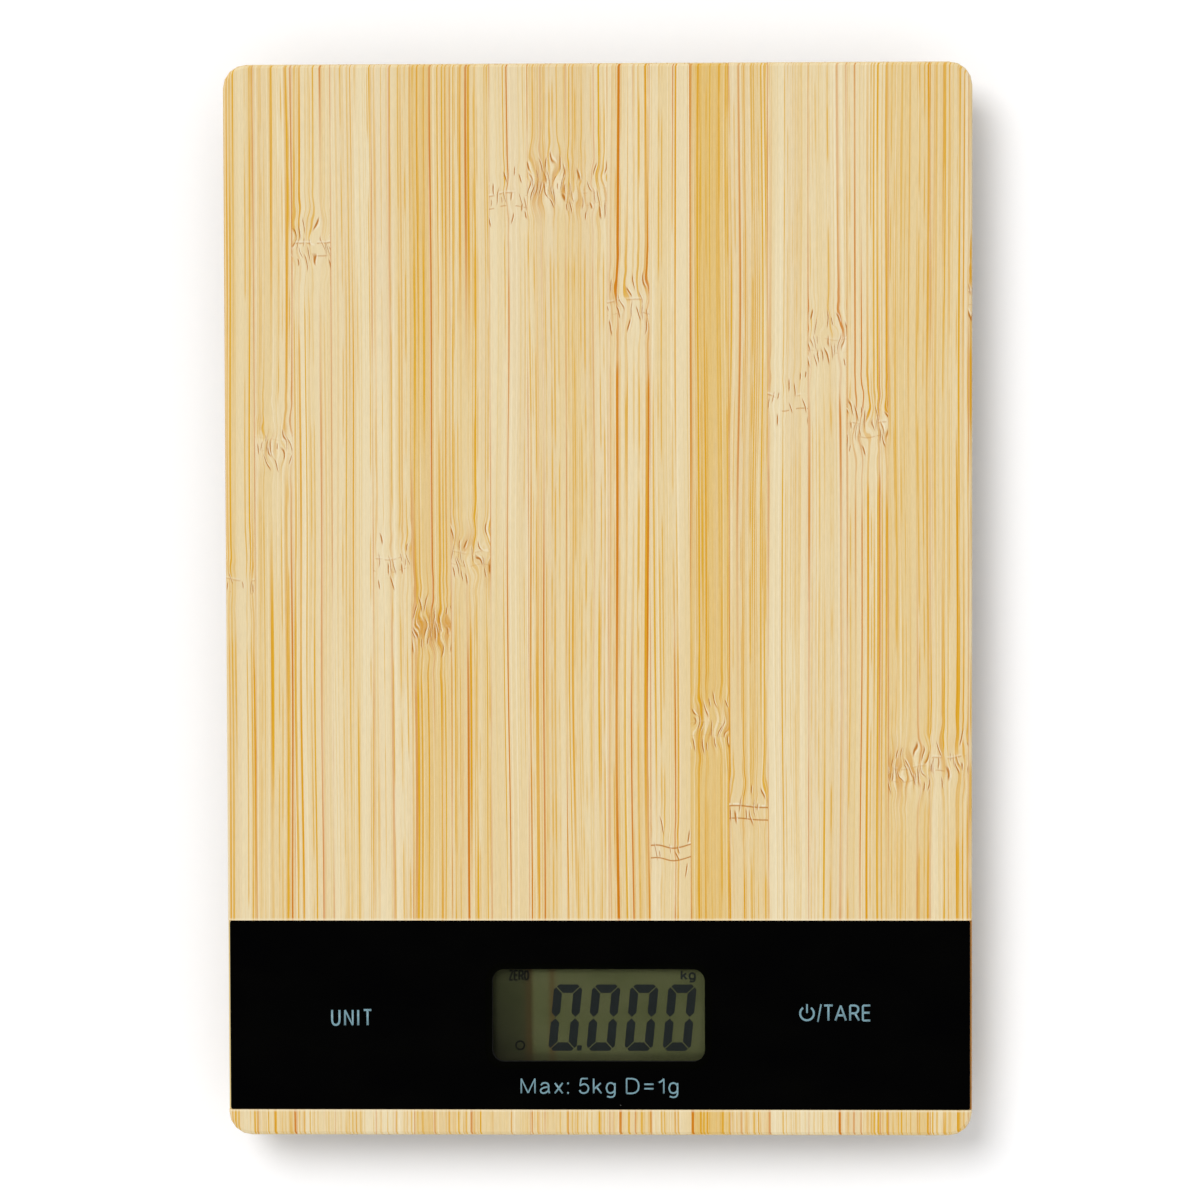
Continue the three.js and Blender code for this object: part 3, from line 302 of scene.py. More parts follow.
# Strokes at a knuckle: the shortest half length and its spread in millimetres, how far they lean to
# either side, and how far to the side the painted highlight lies, in widths.
SHORTEST, LENGTH_SPREAD = 0.9, 1.7
LEAN_SPREAD, LEAN_BACK = 0.5, -0.32
HIGHLIGHT_OFFSET = 2.1


def strokes(tree, x, past, seed, pitch, low, high, width, share):
    """Short slanted strokes near the knuckle, tapered at both ends; also the painted highlight beside each.
    """
    cells = ratio(tree, x, pitch)
    cell = calc(tree, "FLOOR", cells)
    height, length, lean = chances(tree, cell, seed, pitch * STROKE_SEED)
    luck = chances(tree, cell, seed, pitch * LUCK_SEED)[0]
    from_middle = minus(tree, past, scaled(tree, height, high - low, low))
    reach = scaled(tree, length, LENGTH_SPREAD, SHORTEST)
    taper = rise(tree, ratio(tree, unsigned(tree, from_middle), reach), 1.0, 0.3)
    side = product(tree, minus(tree, minus(tree, cells, cell), 0.5), pitch)
    lean = scaled(tree, lean, LEAN_SPREAD, LEAN_BACK)
    side = minus(tree, side, product(tree, from_middle, lean))
    drawn = product(tree, taper, calc(tree, "LESS_THAN", luck, share))
    dark = rise(tree, unsigned(tree, side), width * 1.5, width * 0.4)
    # Painted highlight: a pale band a little to the side of each stroke.
    beside = unsigned(tree, minus(tree, side, width * HIGHLIGHT_OFFSET))
    light = rise(tree, beside, width * 1.3, 0.0)
    return product(tree, dark, drawn), product(tree, light, drawn)


bamboo, tree, shader = new_material("bamboo")
place = millimetres(tree)
across, along, up = wire(tree, "ShaderNodeSeparateXYZ", {0: place}).outputs
left_edge, knuckle, seed = strip_facts(tree, "strip_place")
tan, density, bold = strip_facts(tree, "strip_grain")
ringed, wavy = strip_facts(tree, "strip_knuckle")[:2]
in_strip = minus(tree, across, left_edge)
past = minus(tree, along, knuckle)
SEED_SHIFT = 31.7
shift = product(tree, seed, SEED_SHIFT)
seeded = vector(tree, across, along, shift)

# Fibres swerve near the knuckle, and drift a little everywhere. All in millimetres.
KNUCKLE_REACH = 8.0
SWERVE = 4.2
DRIFT = 1.6
close = bell(tree, past, KNUCKLE_REACH)
swerve = minus(tree, noise(tree, seeded, (0.30, 0.15, 1.0), 1.0), 0.5)
swerve = product(tree, swerve, close, wavy, SWERVE)
drift = minus(tree, noise(tree, seeded, (0.05, 0.012, 1.0)), 0.5)
swerve = scaled(tree, drift, DRIFT, swerve)
grain_x = plus(tree, plus(tree, across, up), swerve)
grain = vector(tree, grain_x, along, shift)

# Plain patch round the knuckle, longer below it, where the fibres have not yet come back.
PATCH_LENGTH = 30.0
ragged = noise(tree, seeded, (0.7, 0.02, 1.0), 1.0)
patch_foot = rise(tree, scaled(tree, ragged, PATCH_LENGTH, past), -3.0, 3.0)
patch_head = rise(tree, past, 3.0, -1.0)
patch = product(tree, patch_foot, patch_head, minus(tree, 1.15, density))
plain = minus(tree, 1.0, product(tree, patch, scaled(tree, wavy, 0.7, 0.3)))

# Each kind of line in the grain, the pale ones being painted highlights: what is added to the strip's
# seed, spacing and width in millimetres, the share of the places that hold one, and how quickly it
# fades along its length.
thin_share = scaled(tree, density, 0.75, 0.10)
bold_share = scaled(tree, bold, 0.55, 0.05)
lines = {}
for kind, own_seed, pitch, width, share, wander in (
    ("faint", 0, 0.46, 0.11, 0.75, 0.010),
    ("thin", 0, 0.83, 0.145, thin_share, 0.013),
    ("gold", 40, 1.57, 0.17, thin_share, 0.009),
    ("short", 80, 0.67, 0.13, thin_share, 0.055),
    ("deep", 120, 2.9, 0.18, bold_share, 0.008),
    ("pale", 160, 1.13, 0.12, 0.6, 0.014),
):
    line_seed = plus(tree, seed, own_seed)
    lines[kind] = comb(tree, grain_x, along, line_seed, pitch, width, share, wander)

# Fibres crowded together at the knuckle, ridge and hollow by turns, the ridges with a painted highlight and
# the hollows with painted shade.
CROWD_REACH = 5.0
crowd = noise(tree, grain, (1.5, 0.10, 1.0), 0.5)
crowd_place = bell(tree, plus(tree, past, 1.0), CROWD_REACH)
crowd_zone = product(tree, crowd_place, wavy, rise(tree, density, 0.3, 0.7))
lit_ridge = product(tree, rise(tree, crowd, 0.55, 0.62), crowd_zone)
shaded_furrow = product(tree, rise(tree, crowd, 0.45, 0.38), crowd_zone)

# Two ring scars across the knuckle, in millimetres, with a painted highlight above the upper one.
RING_WAVE = 3.0
RING_APART = 2.7
RING_WIDTH, LOWER_RING_WIDTH, RING_HIGHLIGHT = 0.16, 0.14, 0.2
RING_HIGHLIGHT_AT = 0.35
arc = scaled(tree, noise(tree, seeded, (0.17, 0.0, 1.0)), RING_WAVE, -RING_WAVE / 2)
from_ring = plus(tree, past, arc)
broken = rise(tree, noise(tree, seeded, (0.6, 0.3, 1.0), 1.0), 0.46, 0.56)
upper_ring = bell(tree, from_ring, RING_WIDTH)
lower_ring = bell(tree, plus(tree, from_ring, RING_APART), LOWER_RING_WIDTH)
unbroken = rise(tree, ringed, 0.6, 1.0)
ring = product(tree, plus(tree, upper_ring, lower_ring), ringed, largest(tree, broken, unbroken))
ring_highlight_band = bell(tree, minus(tree, from_ring, RING_HIGHLIGHT_AT), RING_HIGHLIGHT)
ring_highlight = product(tree, ring_highlight_band, ringed, broken)

# Short dark strokes round the scars. What is added to the seed, their spacing, the lowest and
# highest place along the board, their width, and how dark they are.
marks = []
mark_highlights = []
mark_share = product(tree, wavy, 0.85)
for own_seed, pitch, lowest, highest, width, darkness in (
    (0, 1.15, 1.0, 5.0, 0.12, 1.0),
    (50, 0.95, -5.5, -1.5, 0.12, 1.0),
    (90, 0.8, -2.5, 0.5, 0.1, 0.8),
):
    mark_seed = plus(tree, seed, own_seed)
    mark, mark_highlight = strokes(
        tree, grain_x, from_ring, mark_seed, pitch, lowest, highest, width, mark_share
    )
    marks.append(product(tree, mark, darkness))
    mark_highlights.append(mark_highlight)
nick = largest(tree, *marks)
nick_highlight = largest(tree, *mark_highlights, ring_highlight)

# Glue line along the strip's left edge, but not where that edge is the board's own side.
JOINT_WIDTH = 0.17
FIRST_JOINT = cad_low.x / MM + 1
joint = bell(tree, in_strip, JOINT_WIDTH)
joint_noise = noise(tree, seeded, (0.0, 0.018, 3.0), 2.0, 0.6)
joint_fade = rise(tree, joint_noise, 0.35, 0.62, 0.12, 1.0)
joint = product(tree, joint, joint_fade, calc(tree, "GREATER_THAN", left_edge, FIRST_JOINT))

# The wood's own colour from pale to tan, then every mark on it with its strength and colour, painted
# highlights and painted shade among them.
broad = rise(tree, noise(tree, grain, (0.28, 0.004, 0.28), 1.0), 0.36, 0.64)
tone = scaled(tree, broad, 0.5, scaled(tree, tan, 0.75, -0.15))
colour = blend(tree, tone, paint(237, 220, 180), paint(229, 200, 140))
colour = blend(tree, rise(tree, tan, 0.55, 0.9, 0.0, 0.8), colour, paint(228, 193, 118))
rosy = rise(tree, noise(tree, grain, (0.22, 0.006, 0.22), 1.0), 0.54, 0.68, 0.0, 0.4)
colour = blend(tree, rosy, colour, paint(229, 205, 162))
for mask, strength, mark_colour in (
    (product(tree, lines["faint"], plain), 0.40, paint(226, 184, 96)),
    (product(tree, lines["short"], plain), 0.8, paint(223, 170, 48)),
    (product(tree, lines["thin"], plain), 1.0, paint(223, 169, 30)),
    (product(tree, lines["gold"], plain), 1.0, paint(221, 160, 12)),
    (product(tree, lines["deep"], plain), 1.0, paint(208, 124, 0)),
    # Painted highlights: the pale lines.
    (lines["pale"], 0.5, paint(245, 232, 200)),
    # Painted shade in the hollows and painted highlight on the ridges of the crowded fibres.
    (shaded_furrow, 0.7, paint(212, 146, 36)),
    (lit_ridge, 0.6, paint(246, 232, 198)),
    (joint, 0.95, paint(204, 116, 0)),
    (largest(tree, ring, nick), 0.95, paint(190, 116, 12)),
    # Painted highlight beside the scars and strokes.
    (nick_highlight, 0.7, paint(248, 238, 210)),
):
    colour = blend(tree, product(tree, mask, strength), colour, mark_colour)


def new_group(name, inputs, outputs):
    """An empty node group with its sockets, and what its input node gives."""
    group = bpy.data.node_groups.new(name, "ShaderNodeTree")
    for way, sockets in (("INPUT", inputs), ("OUTPUT", outputs)):
        for socket, kind in sockets.items():
            group.interface.new_socket(socket, in_out=way, socket_type="NodeSocket" + kind)
    return group, group.nodes.new("NodeGroupInput").outputs


# Specks, for pores, scratches, fibre ends and dust: one to a cell, with random numbers for the cell.
specks, given = new_group(
    "specks", {"Place": "Vector", "Cells": "Float", "Outside": "Float", "Inside": "Float"},
    {"Speck": "Float", "Luck": "Color"},
)
cells = wire(specks, "ShaderNodeTexVoronoi", {"Vector": given["Place"], "Scale": given["Cells"]}).outputs
speck = rise(specks, cells["Distance"], given["Outside"], given["Inside"])
wire(specks, "NodeGroupOutput", {"Speck": speck, "Luck": cells["Color"]})


def scattered(tree, place, cells, outside, inside):
    """A mask of specks, so many cells to a millimetre, and three random numbers for each cell."""
    values = {"Place": place, "Cells": cells, "Outside": outside, "Inside": inside}
    made = wire(tree, "ShaderNodeGroup", values, node_tree=specks).outputs
    return made["Speck"], three_of(tree, made["Luck"])


# Specks: small brown pores, and a few pale scratches that run aslant.
PORE_LUCK, SCRATCH_LUCK = 0.8, 0.75
SCRATCH_SLANT, SCRATCH_STRETCH = -0.45, 0.22
pore, luck = scattered(tree, place, 0.11, 0.022, 0.014)
pore = product(tree, pore, calc(tree, "GREATER_THAN", luck[0], PORE_LUCK))
colour = blend(tree, product(tree, pore, 0.8), colour, paint(176, 112, 40))
slant = scaled(tree, along, SCRATCH_SLANT, across)
slant = vector(tree, slant, product(tree, along, SCRATCH_STRETCH), up)
scratch, luck = scattered(tree, slant, 0.07, 0.014, 0.008)
scratch = product(tree, scratch, calc(tree, "GREATER_THAN", luck[1], SCRATCH_LUCK))
colour = blend(tree, product(tree, scratch, 0.7), colour, paint(246, 236, 214))

# The routed channel: pale raised fibres along its edges, partly a painted highlight, and on its floor pale
# yellow painted light at the left end turning to darker orange painted shade at the right.
RIM_OUT, RIM_WIDTH, RIM_DEPTH = 0.75, 0.22, 0.4
BED_OUT = 0.5
normal = tree.nodes.new("ShaderNodeTexCoord").outputs["Normal"]
facing = wire(tree, "ShaderNodeSeparateXYZ", {0: normal}).outputs
from_channel = unsigned(tree, minus(tree, along, CHANNEL_MIDDLE))
fuzz = noise(tree, place, (1.1, 1.1, 1.1), 1.0)
from_rim = minus(tree, scaled(tree, fuzz, 0.2, from_channel), CHANNEL_HALF + RIM_OUT)
on_top = rise(tree, up, BOARD_TOP - RIM_DEPTH, BOARD_TOP - 0.1)
rim = product(tree, bell(tree, from_rim, RIM_WIDTH), on_top)
# Painted highlight along the channel's edges, together with the pale raised fibres there.
colour = blend(tree, product(tree, rim, 0.6), colour, paint(248, 234, 200))
low_down = rise(tree, up, CHANNEL_FLOOR + 0.9, CHANNEL_FLOOR + 0.4)
within = calc(tree, "LESS_THAN", from_channel, CHANNEL_HALF + BED_OUT)
bed = product(tree, low_down, rise(tree, facing[2], 0.4, 0.6), within)
# Painted light and shade on the channel floor: pale yellow where the light reaches at the left end, deep
# orange in shade at the right.
floor_light_and_shade = blend(tree, rise(tree, across, -70.0, 70.0), paint(255, 226, 150), paint(240, 152, 14))
colour = blend(tree, product(tree, bed, 0.85), colour, floor_light_and_shade)

# Cut ends of the fibres, on the front and back faces.
END_DOTS_PER_MM = 1.5
ends = rise(tree, unsigned(tree, facing[1]), 0.6, 0.8)
end_place = vector(tree, across, shift, up)
dot = scattered(tree, end_place, END_DOTS_PER_MM, 0.34, 0.2)[0]
end_colour = blend(tree, dot, paint(230, 206, 154), paint(196, 146, 70))
end_colour = blend(tree, product(tree, joint, 0.9), end_colour, paint(180, 110, 40))
colour = blend(tree, ends, colour, end_colour)

# Fine fibre over everything: it sets how light, how rough and how raised each spot is.
DARKEST, LIGHTEST = 0.825, 0.895
SMOOTHEST, ROUGHEST = 0.42, 0.58
LACQUER_SPECULAR = 0.15
RELIEF, RELIEF_STRENGTH = 0.07, 0.7
fibre = noise(tree, place, (6.0, 0.35, 6.0), 2.0, 0.7)
shade = rise(tree, fibre, 0.3, 0.7, DARKEST, LIGHTEST)
shaded = wire(tree, "ShaderNodeVectorMath", {0: colour, "Scale": shade}, operation="SCALE")
coat(tree, shader, shaded.outputs[0], rise(tree, fibre, 0.2, 0.8, SMOOTHEST, ROUGHEST))
shader.inputs["Specular IOR Level"].default_value = LACQUER_SPECULAR
hollow = largest(tree, ring, nick, product(tree, joint, 0.5))
hollow = scaled(tree, plus(tree, lines["thin"], lines["gold"]), 0.25, hollow)
hollow = minus(tree, plus(tree, hollow, shaded_furrow), lit_ridge)
height = minus(tree, product(tree, nick_highlight, 0.5), hollow)
height = scaled(tree, fibre, 0.15, height)
bumped(tree, shader, height, RELIEF_STRENGTH, RELIEF)

# The board's mesh is the CAD board's, with the channel eased, cut along every glue line.
board = merged_copy("bamboo_board")
for vert in board.verts:
    if vert.co.z > (CHANNEL_FLOOR - NEAR) * MM:
        for wall, ease in ((CHANNEL_FROM, -CHANNEL_EASE), (CHANNEL_TO, CHANNEL_EASE)):
            if abs(vert.co.y / MM - wall) < NEAR:
                vert.co.y += ease * MM
edges = []
left = cad_low.x / MM
for strip in STRIPS:
    edges.append(left)
    left += strip[0]
for edge in edges[1:]:
    bmesh.ops.bisect_plane(
        board, geom=board.verts[:] + board.edges[:] + board.faces[:], dist=SAME_PLACE,
        plane_co=(edge * MM, 0, 0), plane_no=(1, 0, 0),
    )
new_layer = board.faces.layers.float_vector.new
layers = [new_layer(name) for name in ("strip_place", "strip_grain", "strip_knuckle")]
for face in board.faces:
    middle = face.calc_center_median().x / MM
    index = max(i for i, edge in enumerate(edges) if edge <= middle + NEAR)
    knuckle_at, how_tan, how_dense, how_bold, how_ringed, how_wavy = STRIPS[index][1:]
    face[layers[0]] = (edges[index], knuckle_at, index + 1)
    face[layers[1]] = (how_tan, how_dense, how_bold)
    face[layers[2]] = (how_ringed, how_wavy, 0)
soften(board)
publish(board, "bamboo_platform", bamboo, nodes=["bamboo_board"])

# ---------------------------------------------------------------- display panel
# A 1 mm sheet of smoked acrylic, laser cut, with polished edges. It is printed black behind,
# except at the display window, and its legends are screen printed in pale blue-grey.
PANEL_EDGE = 0.12
PANEL_CORNER = 0.5
PANEL_EASE = (0.3, 1.2)
WINDOW = (45.8, 20, 2.6)
WINDOW_SHIFT = (-0.25, -0.2)
WINDOW_ALPHA = 0.30
CLEAR_MARGIN = 1.4
POLISH = (0.05, 0.09)
HAZE_SCALE = (0.05, 0.09, 0.05)
PRINT_THICKNESS = 0.012
PRINT_GAP = 0.002
STEEP = 45

panel_low, panel_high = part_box("display_panel")
panel_middle = (panel_low + panel_high) / 2
panel_size = (panel_high - panel_low) / MM
panel_size.x += PANEL_EASE[0]
panel_size.y += PANEL_EASE[1]
window_middle = panel_middle + Vector((*WINDOW_SHIFT, 0)) * MM
print_top = panel_high.z + (PRINT_THICKNESS + PRINT_GAP) * MM


def rounded_plate(width, length, radius, centre, top, thickness, steps=10):
    """A flat plate with round corners, in metres, from its size in millimetres."""
    maker = bmesh.new()
    bmesh.ops.create_grid(maker, x_segments=1, y_segments=1, size=0.5)
    bmesh.ops.scale(maker, vec=(width * MM, length * MM, 1), verts=maker.verts)
    bmesh.ops.bevel(
        maker, geom=maker.verts[:], offset=radius * MM, segments=steps, profile=0.5,
        affect="VERTICES", material=-1, clamp_overlap=False,
    )
    bmesh.ops.recalc_face_normals(maker, faces=maker.faces)
    if maker.faces[:][0].normal.z < 0:
        bmesh.ops.reverse_faces(maker, faces=maker.faces)
    bmesh.ops.translate(maker, vec=(centre[0], centre[1], top), verts=maker.verts)
    if thickness:
        raised = bmesh.ops.extrude_face_region(maker, geom=maker.faces[:], use_keep_orig=True)
        moved = [v for v in raised["geom"] if isinstance(v, bmesh.types.BMVert)]
        bmesh.ops.translate(maker, vec=(0, 0, -thickness * MM), verts=moved)
        bmesh.ops.recalc_face_normals(maker, faces=maker.faces)
    return maker


def round_edges(maker, width, chosen, steps=2):
    bmesh.ops.bevel(
        maker, geom=[e for e in maker.edges if chosen(e)], offset=width * MM, segments=steps,
        profile=0.5, affect="EDGES", material=-1, clamp_overlap=True,
    )


def on_rim(edge, height):
    """True for an outer edge that lies at that height between a flat face and a side."""
    level = all(abs(v.co.z - height) < SAME_PLACE for v in edge.verts)
    return level and edge.calc_face_angle(0) > math.radians(STEEP)


def varied_group(name, detail, roughness, crisp):
    """A node group that varies a colour, a roughness and a height with one grain."""
    group, given = new_group(
        name,
        {"Dark": "Color", "Light": "Color", "Grain": "Vector", "Smooth": "Float", "Rough": "Float"},
        {"Color": "Color", "Roughness": "Float", "Height": "Float"},
    )
    grain = noise(group, millimetres(group), given["Grain"], detail, roughness)
    share = rise(group, grain, 0.3, 0.7) if crisp else grain
    colour = blend(group, share, given["Dark"], given["Light"])
    ranged = rise(group, grain, 0.3, 0.7, given["Smooth"], given["Rough"])
    wire(group, "NodeGroupOutput", {"Color": colour, "Roughness": ranged, "Height": grain})
    return group


def varied(tree, group, dark, light, roughness, grain):
    """What one of those groups gives with a material's own two colours, roughness and grain."""
    values = {"Dark": paint(*dark), "Light": paint(*light), "Grain": grain}
    values.update({"Smooth": roughness[0], "Rough": roughness[1]})
    return wire(tree, "ShaderNodeGroup", values, node_tree=group).outputs


hazed = varied_group("hazed", 2.0, 0.5, False)

gloss_black, tree, shader = new_material("smoked_acrylic")
place = millimetres(tree)
haze = varied(tree, hazed, (1, 1, 2), (4, 4, 3), POLISH, HAZE_SCALE)
speck, luck = scattered(tree, place, 0.22, 0.026, 0.018)
speck = product(tree, speck, rise(tree, luck[0], 0.78, 0.80))
colour = blend(tree, product(tree, speck, 0.35), haze["Color"], paint(150, 150, 140))
coat(tree, shader, colour, haze["Roughness"])
bumped(tree, shader, noise(tree, place, (0.03, 0.03, 0.03), 1.0), 0.25, 0.05)

smoked_window, tree, shader = new_material("smoked_window")
haze = varied(tree, hazed, (6, 7, 3), (9, 10, 5), POLISH, HAZE_SCALE)
coat(tree, shader, haze["Color"], haze["Roughness"])
shader.inputs["Alpha"].default_value = WINDOW_ALPHA


def add_mesh(maker, part):
    """Adds one bmesh to another, and frees it."""
    loose = bpy.data.meshes.new("loose")
    part.to_mesh(loose)
    part.free()
    maker.from_mesh(loose)
    bpy.data.meshes.remove(loose)


def windowed_face(margin, height, facing):
    """One face of the sheet: a black ring round a clear window."""
    clear = (WINDOW[0] + 2 * margin, WINDOW[1] + 2 * margin, WINDOW[2] + margin)
    maker = bmesh.new()
    sheet = rounded_plate(panel_size.x, panel_size.y, PANEL_CORNER, panel_middle, height, 0, 4)
    add_mesh(maker, sheet)
    rim = set(maker.verts)
    add_mesh(maker, rounded_plate(*clear, window_middle, height, 0))
    bmesh.ops.delete(maker, geom=maker.faces[:], context="FACES_ONLY")
    bmesh.ops.triangle_fill(maker, edges=maker.edges[:], use_beauty=True, normal=(0, 0, 1))
    inner = [e for e in maker.edges if len(e.link_faces) == 1 and not rim & set(e.verts)]
    window = bmesh.ops.contextual_create(maker, geom=inner)["faces"][0]
    window.material_index = 1
    bmesh.ops.recalc_face_normals(maker, faces=maker.faces)
    if window.normal.z * facing < 0:
        bmesh.ops.reverse_faces(maker, faces=maker.faces)
    return maker


panel = windowed_face(0, panel_low.z, -1)
rim_edges = [e for e in panel.edges if len(e.link_faces) == 1]
walls = bmesh.ops.extrude_edge_only(panel, edges=rim_edges)["geom"]
raised = [v for v in walls if isinstance(v, bmesh.types.BMVert)]
bmesh.ops.translate(panel, vec=(0, 0, panel_size.z * MM), verts=raised)
add_mesh(panel, windowed_face(CLEAR_MARGIN, panel_high.z, 1))
bmesh.ops.remove_doubles(panel, verts=panel.verts, dist=SAME_PLACE)
bmesh.ops.recalc_face_normals(panel, faces=panel.faces)
round_edges(panel, PANEL_EDGE, lambda e: on_rim(e, panel_high.z))
soften(panel)
publish(
    panel, "display_panel_sheet", [gloss_black, smoked_window],
    nodes=["display_panel"],
)

legend_ink, tree, shader = new_material("legend_ink")
screen = varied(tree, hazed, (98, 134, 146), (120, 156, 166), (0.35, 0.5), (3, 3, 3))
coat(tree, shader, screen["Color"], screen["Roughness"])


# Each letter on a body 1 high: its width, then its strokes, each a run of points.
LETTERS = {
    "A": (0.72, ((0, 0), (0.36, 1), (0.72, 0)), ((0.12, 0.34), (0.6, 0.34))),
    "D": (0.85, ((0.04, 0), (0.04, 1), (0.42, 1), (0.64, 0.93), (0.78, 0.76), (0.82, 0.5),
                 (0.78, 0.24), (0.64, 0.07), (0.42, 0), (0.04, 0))),
    "E": (0.5, ((0.5, 1), (0, 1), (0, 0), (0.5, 0)), ((0, 0.52), (0.46, 0.52))),
    "I": (0.0, ((0, 0), (0, 1))),
    "M": (0.96, ((0.04, 0), (0.04, 1), (0.48, 0.02), (0.92, 1), (0.92, 0))),
    "N": (0.58, ((0, 0), (0, 1), (0.58, 0), (0.58, 1))),
    "O": (0.56, ((0.28, 1), (0.08, 0.9), (0, 0.62), (0, 0.38), (0.08, 0.1), (0.28, 0), (0.48, 0.1),
                 (0.56, 0.38), (0.56, 0.62), (0.48, 0.9), (0.28, 1))),
    "R": (0.58, ((0, 0), (0, 1), (0.36, 1), (0.53, 0.9), (0.56, 0.73), (0.5, 0.56), (0.34, 0.48),
                 (0, 0.48)), ((0.32, 0.48), (0.6, 0))),
    "T": (0.48, ((0, 1), (0.58, 1)), ((0.29, 1), (0.29, 0))),
    "U": (0.56, ((0, 1), (0, 0.28), (0.08, 0.07), (0.28, 0), (0.48, 0.07), (0.56, 0.28), (0.56, 1))),
    "Z": (0.54, ((0, 1), (0.54, 1), (0, 0), (0.54, 0))),
    "a": (0.62, ((0.05, 0.54), (0.14, 0.68), (0.32, 0.72), (0.48, 0.67), (0.54, 0.54), (0.54, 0.14),
                 (0.6, 0)),
          ((0.54, 0.44), (0.2, 0.38), (0.03, 0.26), (0.02, 0.1), (0.16, 0), (0.36, 0.04),
           (0.54, 0.2))),
    "g": (0.58, ((0.56, 0.7), (0.56, -0.06), (0.48, -0.22), (0.28, -0.27), (0.06, -0.2)),
          ((0.56, 0.5), (0.46, 0.66), (0.28, 0.72), (0.1, 0.64), (0.01, 0.36), (0.1, 0.08),
           (0.28, 0.01), (0.46, 0.07), (0.56, 0.22))),
    "k": (0.52, ((0.02, 0), (0.02, 1)), ((0.48, 0.7), (0.02, 0.27)), ((0.2, 0.44), (0.52, 0))),
    "x": (0.54, ((0.02, 0), (0.52, 0.7)), ((0.02, 0.7), (0.52, 0))),
    "1": (0.36, ((0.02, 0.74), (0.22, 0.84), (0.34, 1), (0.34, 0))),
    "5": (0.6, ((0.54, 1), (0.12, 1), (0.04, 0.5), (0.16, 0.6), (0.34, 0.64), (0.52, 0.55),
                (0.6, 0.34), (0.52, 0.1), (0.3, 0), (0.1, 0.05), (0.01, 0.22))),
    "=": (0.64, ((0.02, 0.32), (0.62, 0.32)), ((0.02, 0.62), (0.62, 0.62))),
    ":": (0.06, ((0.03, -0.04), (0.03, 0.09)), ((0.03, 0.61), (0.03, 0.74))),
    "/": (0.3, ((0, -0.04), (0.3, 1.04))),
    " ": (0.1,),
}


def cut_corners(points, cut):
    """Each inner corner becomes two, so that a round pen keeps its width through a sharp turn."""
    cut_points = [points[0]]
    for before, corner, after in zip(points, points[1:], points[2:]):
        for other in (before, after):
            way = other - corner
            cut_points.append(corner + way.normalized() * min(cut, way.length / 3))
    return cut_points + [points[-1]]


CORNER_CUT = 0.4
PEN_SIDES = 3


def lettering(words, box, top, thickness, line, gap=0.3):
    """Flat letters as a bmesh, drawn with a round pen and fitted to box (low x, low y, high x,
    high y) in millimetres, where low y is the foot of the letters and high y their head."""
    low_x, foot, high_x, head = box
    height = head - foot - line
    widths = [LETTERS[letter][0] for letter in words]
    natural = sum(widths) + gap * (len(words) - 1)
    stretch = (high_x - low_x - line) / (natural * height)
    curve = bpy.data.curves.new("letters", "CURVE")
    curve.dimensions = "3D"
    curve.bevel_depth = line / 2
    curve.bevel_resolution = PEN_SIDES
    curve.use_fill_caps = True
    pen = low_x + line / 2
    for letter, width in zip(words, widths):
        for stroke in LETTERS[letter][1:]:
            drawn = []
            for x, y in stroke:
                drawn.append(Vector((pen + x * height * stretch, foot + line / 2 + y * height)))
            drawn = cut_corners(drawn, CORNER_CUT * line)
            path = curve.splines.new("POLY")
            path.points.add(len(drawn) - 1)
            for point, place in zip(path.points, drawn):
                point.co = (*place, 0, 1)
        pen += (width + gap) * height * stretch
    writer = bpy.data.objects.new("letters", curve)
    bpy.context.scene.collection.objects.link(writer)
    bpy.context.view_layer.update()
    mesh = bpy.data.meshes.new_from_object(writer)
    maker = bmesh.new()
    maker.from_mesh(mesh)
    bpy.data.meshes.remove(mesh)
    bpy.data.objects.remove(writer)
    bpy.data.curves.remove(curve)
    bmesh.ops.remove_doubles(maker, verts=maker.verts, dist=1e-5)
    bmesh.ops.scale(maker, vec=(MM, MM, thickness * MM / line), verts=maker.verts)
    bmesh.ops.translate(maker, vec=(0, 0, top - thickness * MM / 2), verts=maker.verts)
    bmesh.ops.recalc_face_normals(maker, faces=maker.faces)
    return maker


def legend(name, words, box, line, gap=0.3):
    maker = lettering(words, box, print_top, PRINT_THICKNESS, line, gap)
    return publish(maker, name, legend_ink)


legend("legend_unit", "UNIT", (-57.85, -91.45, -49.2, -87.7), 0.46, 0.42)
legend("legend_tare", "TARE", (48.05, -90.35, 58.4, -86.65), 0.46, 0.28)
legend("legend_slash", "/", (46.75, -90.45, 47.8, -86.6), 0.34)
legend("legend_capacity", "Max: 5kg D=1g", (-17.2, -106.1, 17.0, -102.55), 0.36)

# The switch symbol: a ring open at the top, with a short bar standing in the gap.
SYMBOL = (44.6, -88.6)
SYMBOL_RADIUS = 1.68
SYMBOL_LINE = 0.42
SYMBOL_OPENING = 70
SYMBOL_STEPS = 40
SYMBOL_BAR = (0.36, 1.9)
SYMBOL_BAR_RAISE = 1.05
symbol = bmesh.new()
print_depth = PRINT_THICKNESS * MM
turn = Matrix.Rotation(math.radians(90 + SYMBOL_OPENING / 2), 3, "Z")
start = turn @ Vector((SYMBOL_RADIUS * MM, 0, 0))
inside = start * (1 - SYMBOL_LINE / SYMBOL_RADIUS)
corners = []
for point, z in ((inside, 0), (start, 0), (start, -print_depth), (inside, -print_depth)):
    corners.append(symbol.verts.new((point.x, point.y, z)))
end_face = symbol.faces.new(corners)
bmesh.ops.spin(
    symbol, geom=[end_face], cent=(0, 0, 0), axis=(0, 0, 1), angle=math.radians(360 - SYMBOL_OPENING),
    steps=SYMBOL_STEPS, dvec=(0, 0, 0), use_merge=False,
)
